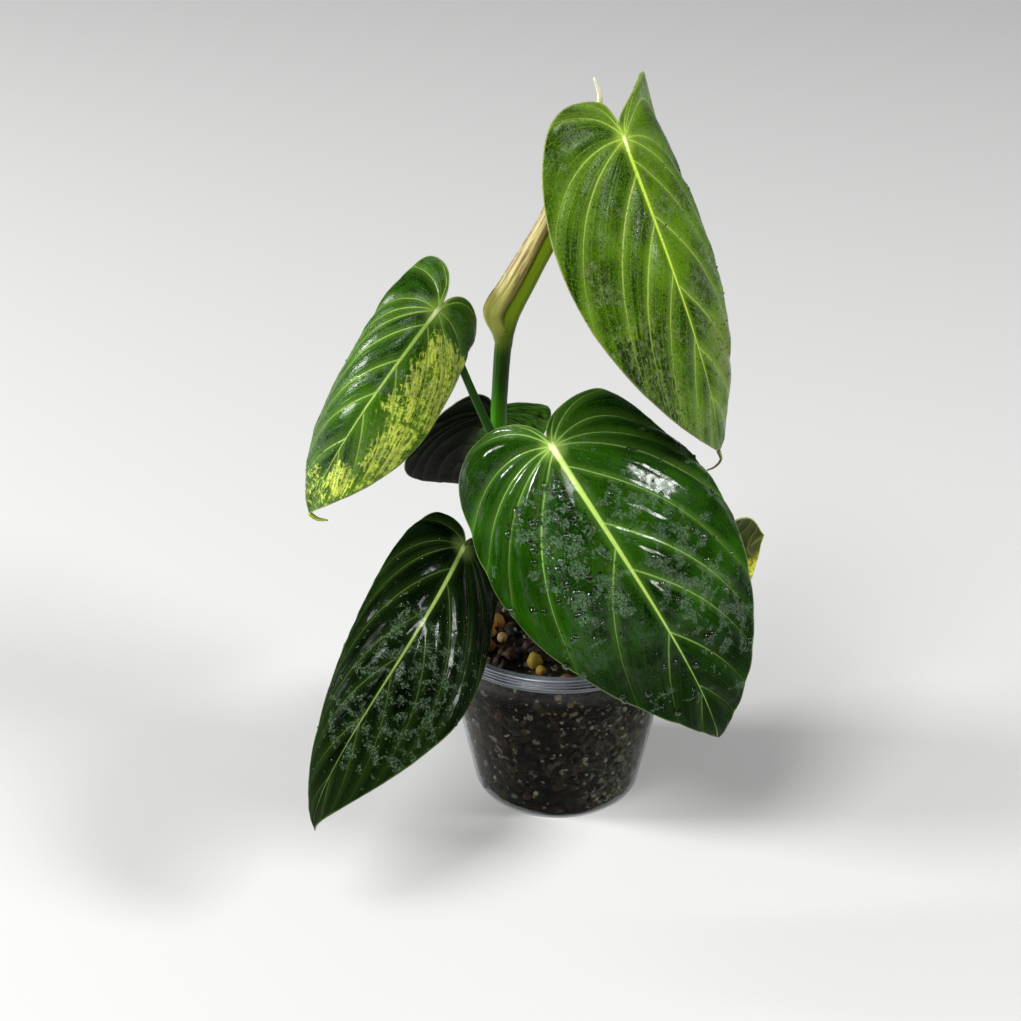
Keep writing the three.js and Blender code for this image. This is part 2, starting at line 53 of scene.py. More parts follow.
# Leaf blades, in millimetres and degrees. The midrib leaves the petiole at attach with a heading, a
# pitch and a roll, then turns by droop, sway and twist over its length. A half has its width, its
# lobe's reach, where its crest, widest place and shoulder lie, how it folds, curls and turns, and
# where its veins lie along the margin, from the notch (0) to the tip (1).
LEAVES = {
    "a": dict(
        attach=(20, -12, 277), heading=-51, pitch=-55, roll=-1,
        length=131, droop=50, sway=-33, twist=18, ease=1.52, notch=6, quilt=1.9, wave=0.5,
        left=dict(width=50, lobe=15, crest=0.7, widest=0.26, shoulder=0.44, fold=-18, curl=38, turn=-94,
                  veins=(0.09, 0.2, 0.3, 0.45, 0.58, 0.69, 0.75, 0.82, 0.88, 0.93)),
        right=dict(width=42, lobe=17, crest=0.42, widest=0.26, shoulder=0.3, fold=10, curl=34, turn=-112,
                   veins=(0.1, 0.18, 0.27, 0.44, 0.57, 0.705, 0.755, 0.805, 0.87, 0.93)),
    ),
    "b": dict(
        attach=(-45, -12, 212), heading=-128, pitch=-29, roll=38,
        length=103, droop=79, sway=6, twist=-25, ease=0.8, notch=4, quilt=1.4, wave=0.5,
        left=dict(width=26, lobe=16, crest=0.56, widest=0.36, shoulder=0.26, fold=-19, curl=46, turn=77,
                  veins=(0.1, 0.22, 0.37, 0.55, 0.69, 0.76, 0.83, 0.89, 0.94)),
        right=dict(width=25, lobe=19, crest=0.54, widest=0.3, shoulder=0.44, fold=2, curl=74, turn=13,
                   veins=(0.1, 0.18, 0.28, 0.4, 0.5, 0.62, 0.69, 0.75, 0.8, 0.87, 0.93)),
    ),
    "c": dict(
        attach=(-4, -45, 175), heading=-57, pitch=-28, roll=-50,
        length=150, droop=89, sway=22, twist=20, ease=1, notch=5, quilt=3.0, wave=0.4,
        left=dict(width=58, lobe=15, crest=0.46, widest=0.22, shoulder=0.3, fold=-38, curl=50, turn=-26,
                  veins=(0.12, 0.24, 0.36, 0.46, 0.55, 0.69, 0.752, 0.797, 0.86, 0.92)),
        right=dict(width=52, lobe=24, crest=0.58, widest=0.22, shoulder=0.16, fold=3, curl=34, turn=46,
                   veins=(0.1, 0.22, 0.36, 0.43, 0.52, 0.665, 0.775, 0.86, 0.93)),
    ),
    "d": dict(
        attach=(-36, -38, 129), heading=-106, pitch=-7, roll=36,
        length=140, droop=115, sway=10, twist=-44, ease=1.38, notch=2, quilt=2.0, wave=0.4,
        left=dict(width=35, lobe=16, crest=0.46, widest=0.3, shoulder=0.12, fold=-15, curl=39, turn=20,
                  veins=(0.12, 0.25, 0.38, 0.5, 0.67, 0.72, 0.77, 0.83, 0.88, 0.93)),
        right=dict(width=25, lobe=12, crest=0.52, widest=0.22, shoulder=0.26, fold=5, curl=59, turn=28,
                   veins=(0.12, 0.28, 0.45, 0.62, 0.7, 0.76, 0.81, 0.87, 0.93)),
    ),
    "e": dict(
        attach=(-28, 22, 152), heading=128, pitch=-48, roll=-12,
        length=82, droop=5, sway=42, twist=0, ease=1, notch=4, quilt=1.1, wave=0.4,
        left=dict(width=28, lobe=17, crest=0.5, widest=0.26, shoulder=0.12, fold=12, curl=35, turn=-28,
                  veins=(0.1, 0.22, 0.36, 0.5, 0.62, 0.7, 0.78, 0.86, 0.93)),
        right=dict(width=30, lobe=16, crest=0.5, widest=0.26, shoulder=0.12, fold=-2, curl=20, turn=75,
                   veins=(0.1, 0.22, 0.36, 0.5, 0.62, 0.7, 0.78, 0.86, 0.93)),
    ),
    "f": dict(
        attach=(53, -2, 93), heading=58, pitch=-10, roll=98,
        length=60, droop=0, sway=0, twist=0, ease=1, notch=4, quilt=0.9, wave=0.3,
        left=dict(width=19, lobe=13, crest=0.5, widest=0.3, shoulder=1.1, fold=4, curl=15, turn=0,
                  veins=(0.12, 0.28, 0.45, 0.62, 0.72, 0.82, 0.91)),
        right=dict(width=17, lobe=12, crest=0.5, widest=0.26, shoulder=0.85, fold=8, curl=30, turn=0,
                   veins=(0.12, 0.28, 0.45, 0.62, 0.72, 0.82, 0.91)),
    ),
}

# Margin and vein curves: where the crest and the widest place lie along the margin, the curves'
# handles, how the veins fan out from the midrib and arch, in degrees, and how far a lobe bends back
CREST_AT = 0.2
WIDEST_AT = 0.46
NOTCH_HANDLE = (0.6, 0.05)
CREST_HANDLES = (0.28, 0.3)
WIDE_HANDLES = (0.5, 0.4)
SHOULDER_AT = 0.8
FAN = 0.66
FOOT_EASE = 1.15
FOOT_END = 0.98
ARCH_EASE = 0.75
VEIN_LEAVES = 38
VEIN_ARRIVES = 34
VEIN_HANDLES = (0.4, 0.36)
BACK_SLOPE = 1.5
SPINE_STEPS = 48
FIT = 0.995
LOBE_REACH = 0.4
LOBE_SPAN = 0.25

# Blade mesh: rows along the margin, columns from the midrib out, and thicknesses in millimetres
ROWS = 150
COLUMNS = 38
COLUMN_EASE = 1.25
BLADE_MM = 0.8
EDGE_MM = 0.35
NOTCH_MM = 0.12
RIB_MM = 2.1
RIB_HALF_WIDTH = 1.5
VEIN_RIB_MM = 0.35
VEIN_RIB_WIDTH = 0.9
SEAT_DEPTH = 0.6

# Relief of the upper face, in millimetres: pillows, the channel over the midrib and small puckers
PILLOW_GAP = 16
CHANNEL_DEPTH = 0.5
CHANNEL_WIDTH = 2.2
WAVES_PER_MM = 0.03
PUCKER_MM = 0.18

# Stem, petioles and sheath: paths and radii in millimetres, and the steps from point to point
PATH_STEPS = 16
STEM = dict(
    path=((-8, 4, 57), (-12, 3, 85), (-19, 1, 120), (-23, 0, 155), (-22.5, 0, 178), (-21, 0, 199)),
    radii=(3.6, 3.4, 3.2, 3.1, 3.0, 3.0, 3.2),
)
STALKS = {
    "a": dict(
        path=(
            (-20.8, 0, 192), (-20.2, 0, 198), (-17.9, 0, 207), (-12.6, 0, 217.5),
            (-5.2, 0, 232), (5, 1, 250), (13, -1, 266), (20, -12, 277),
        ),
        radii=(2.6, 3.4, 2.7, 2.3, 2.1, 2.0, 1.9),
    ),
    "b": dict(
        path=(
            (-23, 0, 146), (-26.5, -5, 160), (-32, -7, 175), (-37, -8, 189), (-42, -7, 203), (-45, -12, 212),
        ),
        radii=(1.9, 1.5, 1.4),
    ),
    "c": dict(
        path=((-14, 2, 92), (-6, -12, 115), (-1, -26, 142), (1, -37, 166), (-4, -45, 175)),
        radii=(2.8, 2.2, 1.9),
    ),
    "d": dict(
        path=((-13, 2, 88), (-24, -12, 98), (-36, -28, 108), (-40, -36, 120), (-36, -38, 129)),
        radii=(2.6, 2.0, 1.8),
    ),
    "e": dict(
        path=((-20, 2, 115), (-23, 9, 133), (-26, 16, 146), (-28, 22, 152)),
        radii=(2.2, 1.7, 1.5),
    ),
    "f": dict(
        path=((-12, 3, 82), (12, -6, 100), (32, -20, 106), (50, -20, 102), (56, -10, 96), (53, -2, 93)),
        radii=(2.2, 1.8, 1.5),
    ),
}
SHEATH = dict(
    path=(
        (-21.4, 0, 192), (-22.4, 0, 198), (-24.6, -0.5, 206.5), (-19.2, -0.5, 216.5), (-10.8, 0.5, 232),
        (-5, 3, 243), (3, 7, 264), (10, 8, 278), (12.3, 8, 284), (10.1, 8, 291.6),
    ),
    radii=(2.7, 4.0, 3.6, 3.0, 2.6, 2.2, 1.6, 0.35),
)

# Curled tails at two leaves' tips: places from the tip on, and radii, in millimetres
TAIL_A = dict(offsets=((0, 0, 0.5), (1, 0, -3), (-1, 0, -6), (-4, -1, -7)), radii=(0.8, 0.5, 0.4, 0.3))
TAIL_B = dict(offsets=((0, 0, 0.5), (3, 0, -2), (7, -1, -2)), radii=(0.9, 0.8, 0.3))

# Each leaf's slot, which also begins the name of its upper material
LEAF_SLOTS = {
    "a": "leaf_light",
    "b": "leaf_marbled",
    "c": "leaf_dark",
    "d": "leaf_mottled",
    "e": "leaf_back",
    "f": "leaf_young",
}

# Water drops: their height as a share of their width, the share that is left of their lower half,
# the small ones' radii in millimetres, and how many sides they have
DROP_HEIGHT = 0.8
DROP_FOOT = 0.15
SMALL_DROP_SIZES = (0.3, 0.65)
SMALL_DROP_SIDES = 6
LARGE_DROP_SIDES = 12

# Each wet leaf's drops: how many large and small ones, and the large ones' radii in millimetres
DROPS = {
    "c": dict(seed=11, large=200, small=560, sizes=(0.8, 1.9)),
    "d": dict(seed=12, large=24, small=240, sizes=(0.4, 0.8)),
    "b": dict(seed=13, large=14, small=90, sizes=(0.4, 0.9)),
    "a": dict(seed=14, large=0, small=260, sizes=(0.5, 1.4)),
}

# Pot, in millimetres
POT_HEIGHT = 78
POT_FOOT_R = 33.2
POT_TOP_R = 47
POT_WALL = 0.9
POT_CORNER = 2
POT_STEPS = 144
WALL_RINGS_Z = (12, 24, 36, 48, 60)
LIP_R = 50
LIP_HEIGHT = 6
LIP_Z = POT_HEIGHT - LIP_HEIGHT
LIP_RIDGES = 3
LIP_PITCH = (LIP_HEIGHT - 2) / LIP_RIDGES
DRAIN_R = 3
DRAIN_RING_R = 20
DRAIN_COUNT = 4
DRAIN_SIDES = 40
DRAIN_MARGIN = 2
CUTTER_DEPTH = 6

# Soil and the bits in it, in millimetres and degrees
SOIL_EDGE_Z = 66
SOIL_CROWN_Z = 69
SOIL_GAP = 0.35
SOIL_STEPS = 200
LUMPS_PER_METRE = 260
LUMP_MM = 3.2
HOLLOW_MM = 1.6
BATCH = 40
BIT_ROUGH = 0.32
BARK = dict(seed=21, on_top=200, at_wall=520, sizes=(1.0, 3.4), squash=(0.45, 0.95))
PUMICE = dict(seed=22, on_top=30, at_wall=760, sizes=(0.3, 1.5), squash=(0.6, 1.0), lean=-42)
WALL_BIT_SHARE = 0.8
WALL_BIT_DEPTH = 0.3
WALL_TURN = 6.3
LEAN_SHARE = 0.5
LEAN_SPREAD = 22
ROOT_SEED = 9
ROOT_COUNT = 26
ROOT_BENDS = 6
ROOT_RADII = (0.45, 0.35, 0.3, 0.15)
ROOT_TOP_Z = (30, 60)
ROOT_TURN = (-4, 9)
ROOT_FALL = (2, 7)
ROOT_END_Z = 4
PELLET_SEED = 5
PELLET_SQUASH = (0.95, 0.9)
PELLET_ROUGH = 0.1
WALL_PELLETS = 24
WALL_PELLETS_Z = (8, 62)
WALL_PELLET_SIZES = (0.9, 1.9)
FRONT_PELLETS = 9
FRONT_PELLETS_Z = (57, 65)
FRONT_ANGLES = (-96, -78)

# Round pellets on the soil, in millimetres: place, radius and tone
PELLETS = (
    ((-9.5, -25, 70.4), 3.3, (0.05, 0.2)),
    ((-7, -29.5, 68.8), 2.3, (0.3, 0.3)),
    ((2, -36.5, 68.4), 3.6, (0.95, 0.5)),
    ((-24, 2, 70.5), 3.2, (0.85, 0.5)),
    ((-27, -4, 69.5), 2.8, (0.6, 0.3)),
    ((-27, -13, 69.3), 2.6, (0.9, 0.4)),
    ((-22, -8, 69.8), 2.2, (0.3, 0.9)),
)

# Floor, room light and softboxes: each softbox's place and size in metres and its power in watts
FLOOR_HALF = 6
FLOOR_TONE = (0.62, 0.62, 0.61, 1)
ROOM_TONE = (0.86, 0.9, 0.95, 1)
ROOM_STRENGTH = 0.1
LAMP_TARGET = (0, 0, 0.16)
LAMPS = {
    "key": ((-0.7, -1.0, 1.95), (0.8, 0.8), 33),
    "left": ((-1.85, 0.05, 0.75), (0.54, 0.34), 44),
    "right": ((1.45, -0.5, 1.45), (0.5, 0.5), 28),
}

# Distances within which corners are merged, in metres
MERGE_BLADE = 0.000001
MERGE_SPUN = 0.00001

# The node groups by name, and the colour that their inputs have until a material sets them
GROUPS = {}
BLACK = (0.0, 0.0, 0.0, 1.0)


def lerp(a, b, t):
    return a + (b - a) * t


def unit(t):
    return min(max(t, 0.0), 1.0)


def smooth(low, high, x):
    t = unit((x - low) / (high - low))
    return t * t * (3 - 2 * t)


def cubic(points, t):
    """Points on the flat cubic through four handles, one for each value of t."""
    t = np.asarray(t, float)[..., None]
    k = 1 - t
    p = [np.asarray(point, float) for point in points]
    return k**3 * p[0] + 3 * t * k**2 * p[1] + 3 * t**2 * k * p[2] + t**3 * p[3]


def margin(leaf, half, s):
    """The margin of one half, from the notch (s = 0) to the tip (s = 1)."""
    length, width, lobe = leaf["length"], half["width"], half["lobe"]
    crest = (-lobe, half["crest"] * width)
    wide = (half["widest"] * length, width)
    if s <= CREST_AT:
        out = (-lerp(leaf["notch"], lobe, NOTCH_HANDLE[0]), NOTCH_HANDLE[1] * width)
        before = (crest[0], crest[1] - CREST_HANDLES[0] * width)
        return cubic(((-leaf["notch"], 0), out, before, crest), s / CREST_AT)
    if s <= WIDEST_AT:
        after = (crest[0], crest[1] + CREST_HANDLES[1] * width)
        before = (lerp(wide[0], -lobe, WIDE_HANDLES[0]), width)
        return cubic((crest, after, before, wide), (s - CREST_AT) / (WIDEST_AT - CREST_AT))
    after = (lerp(wide[0], length, WIDE_HANDLES[1]), width)
    shoulder = (SHOULDER_AT * length, half["shoulder"] * width)
    return cubic((wide, after, shoulder, (length, 0)), (s - WIDEST_AT) / (1 - WIDEST_AT))


def vein_row(leaf, half, s, r):
    """Flat points at r along the vein that ends at s on the margin."""
    end = margin(leaf, half, s)
    start = np.array((leaf["length"] * FOOT_END * unit((s - FAN) / (1 - FAN)) ** FOOT_EASE, 0.0))
    if s >= 1:
        return np.tile(end, (len(r), 1))
    chord = end - start
    span = hypot(*chord)
    angle = atan2(chord[1], chord[0])
    arch = sin(pi * s**ARCH_EASE)
    leave = min(angle + radians(VEIN_LEAVES) * arch, pi)
    arrive = angle - radians(VEIN_ARRIVES) * arch
    out, back = (handle * span for handle in VEIN_HANDLES)
    p1 = start + out * np.array((cos(leave), sin(leave)))
    p2 = end - back * np.array((cos(arrive), sin(arrive)))
    points = cubic((start, p1, p2, end), r)
    behind = np.maximum(-points[:, 0], 0)
    points[:, 1] = np.maximum(points[:, 1], behind * BACK_SLOPE * s)
    return points


def spine(leaf, half):
    """Distances along the midrib with its places and its sideways and upward directions."""
    h, p = radians(leaf["heading"]), radians(leaf["pitch"])
    ahead = Vector((cos(h) * cos(p), sin(h) * cos(p), sin(p)))
    side = Vector((sin(h), -cos(h), 0))
    up = side.cross(ahead)
    rolled = Matrix.Rotation(-radians(leaf["roll"]), 3, ahead)
    side, up = rolled @ side, rolled @ up

    def turned(droop, sway, twist):
        turn = side * -radians(droop) + up * -radians(sway) + ahead * -radians(twist)
        rotation = Matrix.Rotation(turn.length, 3, turn) if turn.length > 1e-9 else Matrix.Identity(3)
        return rotation @ ahead, rotation @ side, rotation @ up

    step = leaf["length"] / SPINE_STEPS
    at = Vector(leaf["attach"])
    samples = []
    for i in range(SPINE_STEPS + 1):
        g = (i / SPINE_STEPS) ** leaf["ease"]
        axes = turned(leaf["droop"] * g, leaf["sway"] * g, leaf["twist"] * g)
        if i:
            at = at + (axes[0] + samples[-1][2][0]) * step * FIT / 2
        samples.append((i * step, at, axes))
    at = Vector(leaf["attach"])
    first = samples[0][2]
    for i in range(1, round(SPINE_STEPS * LOBE_REACH) + 1):
        back = max((i * step - leaf["notch"]) / leaf["length"], 0)
        axes = turned(-half["turn"] * back / LOBE_SPAN, 0, 0)
        at = at - (axes[0] + first[0]) * step * FIT / 2
        samples.insert(0, (-i * step, at, axes))
    along = np.array([sample[0] for sample in samples])
    places = np.array([sample[1] for sample in samples])
    sides = np.array([sample[2][1] for sample in samples])
    ups = np.array([sample[2][2] for sample in samples])
    return along, places, sides, ups


def place_half(leaf, half, sign, flat):
    """Places the flat points of one half in space, in metres."""
    along, places, sides, ups = spine(leaf, half)
    u, v = flat[..., 0], flat[..., 1]
    at, side, up = (
        np.stack([np.interp(u, along, values[:, k]) for k in range(3)], -1) for values in (places, sides, ups)
    )
    fold = radians(half["fold"]) * (1 - np.clip(u / leaf["length"], 0, 1))
    bend = radians(half["curl"]) / half["width"]
    across = (np.sin(fold) - np.sin(fold - bend * v)) / bend * FIT
    rise = (np.cos(fold - bend * v) - np.cos(fold)) / bend * FIT
    return (at + side * (sign * across)[..., None] + up * rise[..., None]) * MM


def measures(half, flat, s):
    """For each flat point: its vein number, the millimetres from vein to vein and those to the margin."""
    numbers = np.arange(1, len(half["veins"]) + 1)
    known_s = (0, *half["veins"], 1)
    known_k = (0.3, *numbers, len(numbers) + 0.7)
    k = np.interp(s, known_s, known_k)
    d_row = np.gradient(flat, axis=0)
    d_column = np.gradient(flat, axis=1)
    crossed = np.abs(d_row[..., 0] * d_column[..., 1] - d_row[..., 1] * d_column[..., 0])
    apart = crossed / np.maximum(np.linalg.norm(d_column, axis=-1), 1e-6)
    gap = apart / np.maximum(np.gradient(k), 1e-6)[:, None]
    rim = flat[:, -1]
    to_margin = np.sqrt(((flat[:, :, None] - rim[None, None]) ** 2).sum(-1)).min(-1)
    return np.broadcast_to(k[:, None], gap.shape), gap, to_margin


def add_half(bm, leaf, half, sign):
    """Adds one half of a blade as a grid, laid out along its veins, with what the materials read."""
    s = np.linspace(0, 1, ROWS + 1)
    r = np.linspace(0, 1, COLUMNS + 1) ** COLUMN_EASE
    flat = np.stack([vein_row(leaf, half, float(value), r) for value in s])
    k, gap, to_margin = measures(half, flat, s)
    places = place_half(leaf, half, sign, flat)
    made = bmesh.ops.create_grid(bm, x_segments=ROWS, y_segments=COLUMNS, size=0.5)
    lift = bm.verts.layers.float["lift"]
    weights = bm.verts.layers.deform.verify()
    indices = {}
    for vert in made["verts"]:
        i = round((vert.co.x + 0.5) * ROWS)
        j = round((vert.co.y + 0.5) * COLUMNS)
        indices[vert] = (i, j)
        vert.co = places[i, j]
        vert[lift] = lift_at(leaf, flat[i, j], k[i, j], gap[i, j], r[j], sign) * MM
        vert[weights][0] = thickness_at(leaf, flat[i, j], k[i, j], gap[i, j], to_margin[i, j]) / RIB_MM
    faces = {face for vert in made["verts"] for face in vert.link_faces}
    veins_map = bm.loops.layers.uv["veins"]
    blade_map = bm.loops.layers.uv["blade"]
    reach_map = bm.loops.layers.uv["reach"]
    for face in faces:
        face.smooth = True
        for loop in face.loops:
            i, j = indices[loop.vert]
            loop[veins_map].uv = (k[i, j], gap[i, j])
            loop[blade_map].uv = (flat[i, j][0], sign * flat[i, j][1])
            loop[reach_map].uv = (r[j], to_margin[i, j])
    if sign > 0:
        bmesh.ops.reverse_faces(bm, faces=list(faces))


def lift_at(leaf, flat, k, gap, r, sign):
    """How far the upper face stands above the plain blade: pillows between veins and a waved edge."""
    between = abs(k - round(k)) * 2
    pillow = sin(pi / 2 * between) ** 0.9 - 0.5
    height = leaf["quilt"] * smooth(0, PILLOW_GAP, gap) * smooth(0, 0.12, r) * (1 - smooth(0.8, 1.0, r) * 0.7)
    dip = -CHANNEL_DEPTH * exp(-((flat[1] / CHANNEL_WIDTH) ** 2)) * smooth(-3, 6, flat[0])
    spot = Vector((flat[0] * WAVES_PER_MM, flat[1] * WAVES_PER_MM * sign, leaf["length"]))
    wave = leaf["wave"] * noise.noise(spot * 3) * smooth(0.1, 1.0, r)
    pucker = PUCKER_MM * noise.noise(spot * 9) * smooth(0.05, 0.3, r)
    return BLADE_MM / 2 + height * pillow + dip + wave + pucker


def thickness_at(leaf, flat, k, gap, to_margin):
    """The blade's thickness: a rib under the midrib, low ribs under the veins and a thin edge."""
    fade = 1 - unit(flat[0] / leaf["length"])
    rib = (RIB_MM - BLADE_MM) * fade**0.8 * exp(-((flat[1] / RIB_HALF_WIDTH) ** 2))
    rib *= smooth(1, 9, flat[0])
    from_vein = abs(k - round(k)) * gap
    vein = VEIN_RIB_MM * exp(-((from_vein / VEIN_RIB_WIDTH) ** 2))
    plain = lerp(EDGE_MM, BLADE_MM, smooth(0, 3, to_margin))
    full = plain + rib + vein * smooth(0, 4, to_margin)
    return lerp(NOTCH_MM, full, smooth(0.3, 2.5, hypot(*flat)))


def mesh_of(name, bm):
    """A mesh of a finished bmesh, which is freed."""
    mesh = bpy.data.meshes.new(name)
    bm.to_mesh(mesh)
    bm.free()
    return mesh


def add_object(name, data):
    """An object of a mesh, a lamp or a camera, added to the scene."""
    made = bpy.data.objects.new(name, data)
    bpy.context.scene.collection.objects.link(made)
    return made


def finish_piece(name, bm, materials, replaced=()):
    """Makes a piece of a finished bmesh, with its materials and the body it rides."""
    piece = add_object(name, mesh_of(name, bm))
    for material in materials:
        piece.data.materials.append(material)
    if replaced:
        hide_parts(*replaced)
    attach(piece, BODY)
    return piece


def blade(letter, upper, under):
    """A leaf blade: its sheet, lifted into pillows, with a thickness that grows downwards.

    It gives back the upper face's centres, normals and areas, and where each lies on the flat map.
    """
    leaf = LEAVES[letter]
    bm = bmesh.new()
    bm.verts.layers.float.new("lift")
    bm.verts.layers.deform.verify()
    for name in ("veins", "blade", "reach"):
        bm.loops.layers.uv.new(name)
    add_half(bm, leaf, leaf["left"], -1)
    add_half(bm, leaf, leaf["right"], 1)
    bmesh.ops.remove_doubles(bm, verts=bm.verts, dist=MERGE_BLADE)
    bm.normal_update()
    lift = bm.verts.layers.float["lift"]
    for vert in bm.verts:
        vert.co += vert.normal * vert[lift]
    bm.normal_update()
    faces = [(face.calc_center_median(), face.normal.copy(), face.calc_area()) for face in bm.faces]
    blade_map = bm.loops.layers.uv["blade"]
    spots = []
    for face in bm.faces:
        spots.append(sum((loop[blade_map].uv for loop in face.loops), Vector((0, 0))) / len(face.loops))
    piece = finish_piece("blade_" + letter, bm, (upper, under), ("leaf_" + letter,))
    piece.vertex_groups.new(name="thickness")
    solid = piece.modifiers.new("thickness", "SOLIDIFY")
    solid.thickness = RIB_MM * MM
    solid.offset = -1
    solid.vertex_group = "thickness"
    solid.material_offset = 1
    solid.material_offset_rim = 0
    solid.use_even_offset = False
    return faces, spots


def trim_under_blade(bm, leaf):
    """Ends a stalk just under the two halves of its blade."""
    for half, sign in ((leaf["left"], -1), (leaf["right"], 1)):
        along, places, sides, ups = spine(leaf, half)
        k = int(np.argmin(np.abs(along)))
        fold = radians(half["fold"])
        normal = Vector(ups[k]) * cos(fold) - Vector(sides[k]) * sign * sin(fold)
        at = Vector(places[k]) * MM - normal * SEAT_DEPTH * MM
        made = bmesh.ops.bisect_plane(
            bm, geom=bm.verts[:] + bm.edges[:] + bm.faces[:], plane_co=at, plane_no=normal, clear_outer=True
        )
        rim = [item for item in made["geom_cut"] if isinstance(item, bmesh.types.BMEdge)]
        bmesh.ops.holes_fill(bm, edges=rim, sides=0)


def path_frames(path, count):
    """Evenly spaced places on a smooth curve through the path, in metres, with untwisted axes."""
    points = [Vector(point) * MM for point in path]
    points = [points[0] * 2 - points[1], *points, points[-1] * 2 - points[-2]]
    fine = []
    for a, b, c, d in zip(points, points[1:], points[2:], points[3:]):
        for i in range(PATH_STEPS):
            t = i / PATH_STEPS
            square = a * 2 - b * 5 + c * 4 - d
            cube = b * 3 - a - c * 3 + d
            fine.append((b * 2 + (c - a) * t + square * t**2 + cube * t**3) / 2)
    fine.append(points[-2])
    lengths = [0.0]
    for a, b in zip(fine, fine[1:]):
        lengths.append(lengths[-1] + (b - a).length)
    at = np.linspace(0, lengths[-1], count)
    places = [Vector([np.interp(x, lengths, [point[k] for point in fine]) for k in range(3)]) for x in at]
    frames = []
    tangent = (places[1] - places[0]).normalized()
    across = tangent.cross(Vector((0, 1, 0))).normalized()
    for i, place in enumerate(places):
        after = places[min(i + 1, count - 1)]
        before = places[max(i - 1, 0)]
        new_tangent = (after - before).normalized()
        across = tangent.rotation_difference(new_tangent) @ across
        tangent = new_tangent
        up = tangent.cross(across).normalized()
        frames.append((place, across.normalized(), up, tangent))
    return frames


def rod(bm, path, radii, sides=24, count=60, shape=None):
    """Adds a closed rod: rings along the path, bridged, with UVs along and around it."""
    long_map = bm.loops.layers.uv.get("long") or bm.loops.layers.uv.new("long")
    frames = path_frames(path, count)
    where = {}
    rings = []
    for i, (place, across, up, tangent) in enumerate(frames):
        t = i / (count - 1)
        radius = np.interp(t, np.linspace(0, 1, len(radii)), radii) * MM
        matrix = Matrix((across, up, tangent)).transposed().to_4x4()
        matrix.translation = place
        made = bmesh.ops.create_circle(bm, cap_ends=False, segments=sides, radius=radius, matrix=matrix)
        for vert in made["verts"]:
            out = vert.co - place
            angle = atan2(out.dot(up), out.dot(across)) / (2 * pi) % 1.0
            where[vert] = (t, angle)
            if shape:
                vert.co = place + out * shape(t, angle)
        rings.append({edge for vert in made["verts"] for edge in vert.link_edges})
    for ring, following in zip(rings, rings[1:]):
        bmesh.ops.bridge_loops(bm, edges=list(ring | following))
    bmesh.ops.holes_fill(bm, edges=list(rings[0] | rings[-1]), sides=0)
    faces = {face for vert in where for face in vert.link_faces}
    bmesh.ops.recalc_face_normals(bm, faces=list(faces))
    for face in faces:
        face.smooth = len(face.verts) == 4
        angles = [where[loop.vert][1] for loop in face.loops]
        wraps = max(angles) - min(angles) > 0.5
        for loop in face.loops:
            t, angle = where[loop.vert]
            loop[long_map].uv = (angle + (1.0 if wraps and angle < 0.5 else 0.0), t)


class Socket:
    """A node's output that takes arithmetic, each step of it a Math node."""

    def __init__(self, nodes, socket):
        self.nodes = nodes
        self.socket = socket

    def maths(self, operation, *others):
        return self.nodes.put("Math", dict(enumerate((self, *others))), operation=operation)[0]

    __add__ = partialmethod(maths, "ADD")
    __sub__ = partialmethod(maths, "SUBTRACT")
    __mul__ = partialmethod(maths, "MULTIPLY")
    __truediv__ = partialmethod(maths, "DIVIDE")
    __pow__ = partialmethod(maths, "POWER")
    __abs__ = partialmethod(maths, "ABSOLUTE")
    __round__ = partialmethod(maths, "ROUND")
    at_least = partialmethod(maths, "MAXIMUM")

    def __rsub__(self, other):
        return self.nodes.put("Math", {0: other, 1: self}, operation="SUBTRACT")[0]

    def ramp(self, low, high, start=0.0, end=1.0):
        """A smooth step from start to end as the value goes from low to high."""
        values = {"Value": self, "From Min": low, "From Max": high, "To Min": start, "To Max": end}
        return self.nodes.put("MapRange", values, interpolation_type="SMOOTHSTEP")["Result"]

    def between(self, a, b):
        """The colour that lies this far from a to b."""
        return self.nodes.put("Mix", {0: self, 6: a, 7: b}, data_type="RGBA")[2]

    def noise(self, scale, detail=3.0, roughness=0.5, distortion=0.0):
        """Cloudy noise at a vector."""
        values = {"Scale": scale, "Detail": detail, "Roughness": roughness, "Distortion": distortion}
        return self.nodes.put("TexNoise", {"Vector": self, **values})["Fac"]

    def parts(self):
        """The three values of a vector or a colour."""
        split = self.nodes.put("SeparateXYZ", {0: self})
        return [split[k] for k in range(3)]


class Outputs:
    """A placed node's outputs, by name or number."""

    def __init__(self, nodes, node):
        self.nodes = nodes
        self.node = node

    def __getitem__(self, key):
        return Socket(self.nodes, self.node.outputs[key])


